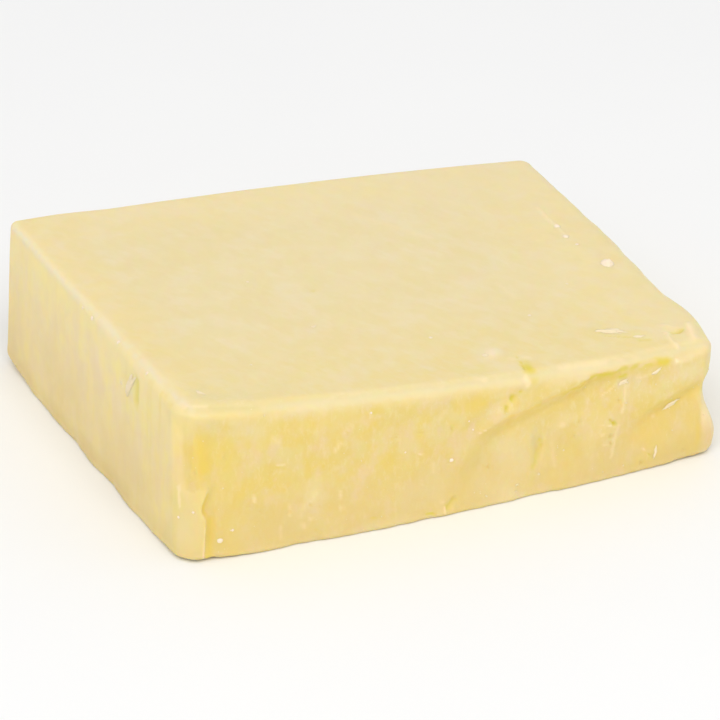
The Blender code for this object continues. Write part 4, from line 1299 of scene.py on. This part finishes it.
class CheddarColours(bpy.types.PropertyGroup):
    """The cheese's colours, as light."""

    def colour(name, description, default):
        return FloatVectorProperty(
            name=name, description=description, default=(*default, 1.0), size=4, min=0, max=1,
            subtype="COLOR",
        )

    cut: colour("Cut face", "Where the cheese was cut", (0.812, 0.684, 0.372))
    cut_dull: colour("Dull cut face", "The duller patches of the cut faces", (0.80, 0.658, 0.335))
    cut_warm: colour("Warm cut face", "The cut top near its front edge", (0.815, 0.664, 0.30))
    side: colour("Cut side", "The cut left side", (0.893, 0.728, 0.318))
    milk: colour("Milky streaks", "The whitish streaks and blotches of the cut faces", (0.845, 0.722, 0.485))
    pink_milk: colour("Pinkish patches", "The pinkish upright patches of the cut side", (0.87, 0.70, 0.45))
    side_gold: colour("Golden streaks", "The yellower upright streaks of the cut side", (0.91, 0.755, 0.27))
    side_dusk: colour("Dusky patches", "The duller patches of the cut side", (0.825, 0.65, 0.365))
    shade: colour("Rounded edge", "The rounded edges that the light strikes", (0.702, 0.598, 0.272))
    # Painted light: the cut side lighter and yellower under its top edge.
    gleam: colour("High side", "The cut side under its top edge", (0.91, 0.785, 0.295))
    chalk: colour("Chalky line", "The whitish line along the left top edge", (0.805, 0.725, 0.525))
    flake: colour("Flakes", "The loose flakes", (0.885, 0.74, 0.51))
    crystal: colour("Crystals", "The hard white crystals", (0.94, 0.79, 0.63))
    straw: colour("Straw streaks", "The yellower streaks of the cut faces", (0.79, 0.665, 0.30))
    rim: colour("Pale cut", "The pale cut edges and streaks", (0.83, 0.705, 0.43))
    edge: colour("Broken edge", "The pale edge over the broken faces", (0.762, 0.675, 0.395))
    fresh: colour("Broken face", "Where the cheese was broken", (0.762, 0.60, 0.205))
    fresh_pale: colour("Pale broken face", "The paler mottling of the broken faces", (0.762, 0.64, 0.305))
    # Deeper yellow, and painted shade in the pits, the soft crease and past the skin's edge.
    deep: colour("Deep places", "In pits, cracks and the pocket", (0.785, 0.59, 0.12))
    # Painted shade in the cracks, and the colour of the small dark spots.
    olive_and_crack_shade: colour("Cracks", "In the cracks and the small dark spots", (0.75, 0.615, 0.07))
    # Painted shade: the golden darkening in the creases under the lip and the crest.
    crease_shade: colour("Creases", "In the creases under the lip and the crest", (0.865, 0.62, 0.12))
    lime: colour("Skin", "The skin that laps the near corner", (0.76, 0.655, 0.305))
    # Painted shade: darker low on the sides, the back and the front, and under the right top edge.
    blush: colour("Blush", "The duller places low on the sides", (0.73, 0.562, 0.235))
    pink: colour("Curds", "The pinker curds and seams", (0.785, 0.607, 0.37))
    white: colour("Dry cheese", "The chalky marks of the faces", (0.95, 0.77, 0.51))


class CheddarRelief(bpy.types.PropertyGroup):
    """How deep the fine relief of the block is, and how many crumbs cling to it."""

    grain: length("Grain", "Height of the curds on the broken faces", 0.16 * MM, 0, MM)
    pit_depth: length("Pit depth", "Depth of the small pits in the broken faces", 0.30 * MM, 0, MM)
    pit_share: FloatProperty(
        name="Pits", description="Share of the broken faces' cells that hold a pit",
        default=0.10, min=0, max=1, subtype="FACTOR",
    )
    drag: length("Drag lines", "Height of the lines that the knife left on the cut sides", 0.03 * MM, 0, MM)
    crumbs: IntProperty(
        name="Crumbs", description="How many crumbs cling to the broken faces", default=110, min=1, max=2000,
    )


class CheddarStage(bpy.types.PropertyGroup):
    """The floor, the light and the camera."""

    floor: length("Floor", "Length of the floor's side", 6.0, 1, 20)
    sky: FloatProperty(
        name="Sky", description="Strength of the even light all round", default=0.72, min=0, max=10,
    )
    key: FloatProperty(
        name="Key light", description="Power of the large soft light over the front",
        default=14.0, min=0, max=1000, unit="POWER",
    )
    distance: length("Camera distance", "From the camera to the block", 1.0, 0.1, 10)


class CHEDDAR_OT_block(bpy.types.Operator):
    """Make the block's own surface, which stands for the solid"""

    bl_idname = "cheddar.block"
    bl_label = "Block"

    def execute(self, context):
        surface = Surface(context.scene.cheddar_relief)
        material = cheese_material(context.scene.cheddar_colours)
        faces = [surface.squares, surface.middle[None, :]]
        block = new_piece("cheddar_surface", surface.points, faces, material)
        for name, share in surface.share.items():
            layer = block.data.attributes.new(name, "FLOAT", "POINT")
            layer.data.foreach_set("value", np.clip(share, 0, 1))
        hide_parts(NODE)
        return {"FINISHED"}


class CHEDDAR_OT_flakes(bpy.types.Operator):
    """Make the loose flakes that lie on the top and cling to the front"""

    bl_idname = "cheddar.flakes"
    bl_label = "Flakes"

    def execute(self, context):
        rows = np.array([row[2:] for row in FLAKES])
        sizes, form = rows[:, :3], rows[:, 3:]
        form[:, 0] = np.radians(form[:, 0])
        points, faces = lumps(seats(FLAKES), sizes, form, detail=(14, 44), rough=0.45, square=1.7, seed=51)
        colours = context.scene.cheddar_colours
        new_piece("cheddar_flakes", points, faces, dry_material("dry_cheddar", colours.flake, colours.rim))
        return {"FINISHED"}


class CHEDDAR_OT_crystals(bpy.types.Operator):
    """Make the small crystals that stand out of the cut faces and the front"""

    bl_idname = "cheddar.crystals"
    bl_label = "Crystals"

    def execute(self, context):
        rows = [(face, (x, y), radius) for face, grains in CRYSTALS.items() for x, y, radius in grains]
        radii = np.array([radius for _, _, radius in rows])[:, None]
        sizes = radii * np.where(radii > LARGE_CRYSTAL, LARGE_CRYSTAL_SHAPE, CRYSTAL_SHAPE)
        form = np.zeros((len(rows), 4))
        form[:, 0] = np.linspace(0, CRYSTAL_TURNS, len(rows))
        points, faces = lumps(seats(rows), sizes, form, detail=(12, 24), rough=0.2, square=1.4, seed=52)
        colours = context.scene.cheddar_colours
        material = dry_material("cheddar_crystal", colours.crystal, colours.flake)
        new_piece("cheddar_crystals", points, faces, material)
        return {"FINISHED"}


class CHEDDAR_OT_crumbs(bpy.types.Operator):
    """Make the crumbs that cling to the broken faces"""

    bl_idname = "cheddar.crumbs"
    bl_label = "Crumbs"

    def execute(self, context):
        count = context.scene.cheddar_relief.crumbs
        draw = np.random.default_rng(53)
        points, normals = block_surface()
        share = np.empty(len(points))
        bpy.data.objects["cheddar_surface"].data.attributes["fresh"].data.foreach_get("value", share)
        height = points[:, 2]
        weight = (share + CRUMBS_ELSEWHERE) * (height > CRUMBS_FROM_Z)
        weight *= CRUMBS_HIGH + bump(height, CRUMBS_LOW_REACH)
        chosen = draw.choice(len(points), count, False, weight / weight.sum())
        radii = CRUMB_RADIUS + CRUMB_RADIUS_MORE * draw.random(count) ** 3
        sizes = radii[:, None] * draw.uniform(*CRUMB_STRETCH, (count, 3)) * CRUMB_SHAPE
        form = np.zeros((count, 4))
        form[:, 0] = draw.uniform(0, FULL_TURN, count)
        seated = points[chosen], normals[chosen]
        points, faces = lumps(seated, sizes, form, detail=(3, 7), rough=0.4, square=1.3, seed=54)
        colours = context.scene.cheddar_colours
        material = dry_material("cheddar_crumb", colours.rim, colours.fresh_pale)
        new_piece("cheddar_crumbs", points, faces, material)
        return {"FINISHED"}


class CHEDDAR_OT_stage(bpy.types.Operator):
    """Make the floor, the soft light and the camera"""

    bl_idname = "cheddar.stage"
    bl_label = "Stage"

    def execute(self, context):
        scene, settings = context.scene, context.scene.cheddar_stage
        half = settings.floor / 2
        mesh = bpy.data.meshes.new("pale_floor")
        corners = [(-half, -half, 0), (half, -half, 0), (half, half, 0), (-half, half, 0)]
        mesh.from_pydata(corners, [], [(0, 1, 2, 3)])
        recipe = Recipe(bpy.data.materials.new("pale_floor"))
        place = recipe.add("TexCoord", output="Object")
        shade = recipe.mix(recipe.noise(place, FLOOR_PATCH), *FLOOR_COLOURS)
        mesh.materials.append(recipe.matter({"Base Color": shade, "Roughness": 0.8}))
        floor = bpy.data.objects.new("pale_floor", mesh)
        scene.collection.objects.link(floor)
        self.light(scene, settings)
        self.camera(scene, settings)
        return {"FINISHED"}

    def light(self, scene, settings):
        """An even white sky, and one large soft lamp over the front."""
        scene.world = bpy.data.worlds.new("soft_sky")
        sky = Recipe(scene.world)
        glow = sky.add("Background", None, {"Color": (1, 1, 1, 1), "Strength": settings.sky})
        sky.add("OutputWorld", None, {"Surface": glow})
        lamp = bpy.data.lights.new("soft_key", "AREA")
        lamp.shape = "RECTANGLE"
        lamp.size, lamp.size_y = KEY_SIZE
        lamp.energy = settings.key
        key = bpy.data.objects.new("soft_key", lamp)
        key.location = KEY_PLACE
        key.rotation_euler = (-key.location).to_track_quat("-Z", "Y").to_euler()
        scene.collection.objects.link(key)
        scene.view_settings.view_transform = "Standard"

    def camera(self, scene, settings):
        """A long lens, from the front and a little from the left."""
        lens = bpy.data.cameras.new("camera")
        lens.lens, lens.sensor_width = LENS, SENSOR
        camera = bpy.data.objects.new("camera", lens)
        turn, rise = np.radians(CAMERA_TURN), np.radians(CAMERA_RISE)
        back = Vector((np.sin(turn) * np.cos(rise), -np.cos(turn) * np.cos(rise), np.sin(rise)))
        camera.location = Vector(CAMERA_TARGET) * MM + back * settings.distance
        camera.rotation_euler = back.to_track_quat("Z", "Y").to_euler()
        scene.collection.objects.link(camera)
        scene.camera = camera


class CHEDDAR_PT_panel(bpy.types.Panel):
    """The block's pieces, sizes and colours"""

    bl_idname = "CHEDDAR_PT_panel"
    bl_label = "Cheddar"
    bl_space_type = "VIEW_3D"
    bl_region_type = "UI"
    bl_category = "Cheddar"

    def draw(self, context):
        for operator in OPERATORS:
            self.layout.operator(operator.bl_idname)
        for group in ("cheddar_relief", "cheddar_colours", "cheddar_stage"):
            settings = getattr(context.scene, group)
            for name in settings.__annotations__:
                self.layout.prop(settings, name)


OPERATORS = (
    CHEDDAR_OT_block,
    CHEDDAR_OT_flakes,
    CHEDDAR_OT_crystals,
    CHEDDAR_OT_crumbs,
    CHEDDAR_OT_stage,
)
GROUPS = {
    "cheddar_relief": CheddarRelief,
    "cheddar_colours": CheddarColours,
    "cheddar_stage": CheddarStage,
}
CLASSES = (*GROUPS.values(), *OPERATORS, CHEDDAR_PT_panel)


def register():
    """Makes the classes known and gives the scene their settings."""
    for each in CLASSES:
        bpy.utils.register_class(each)
    for name, group in GROUPS.items():
        setattr(bpy.types.Scene, name, PointerProperty(type=group))


def unregister():
    """Takes the settings and the classes out again."""
    for name in GROUPS:
        delattr(bpy.types.Scene, name)
    for each in reversed(CLASSES):
        bpy.utils.unregister_class(each)


def main():
    """Makes every piece in turn."""
    register()
    for operator in OPERATORS:
        group, name = operator.bl_idname.split(".")
        getattr(getattr(bpy.ops, group), name)()


if __name__ == "__main__":
    main()
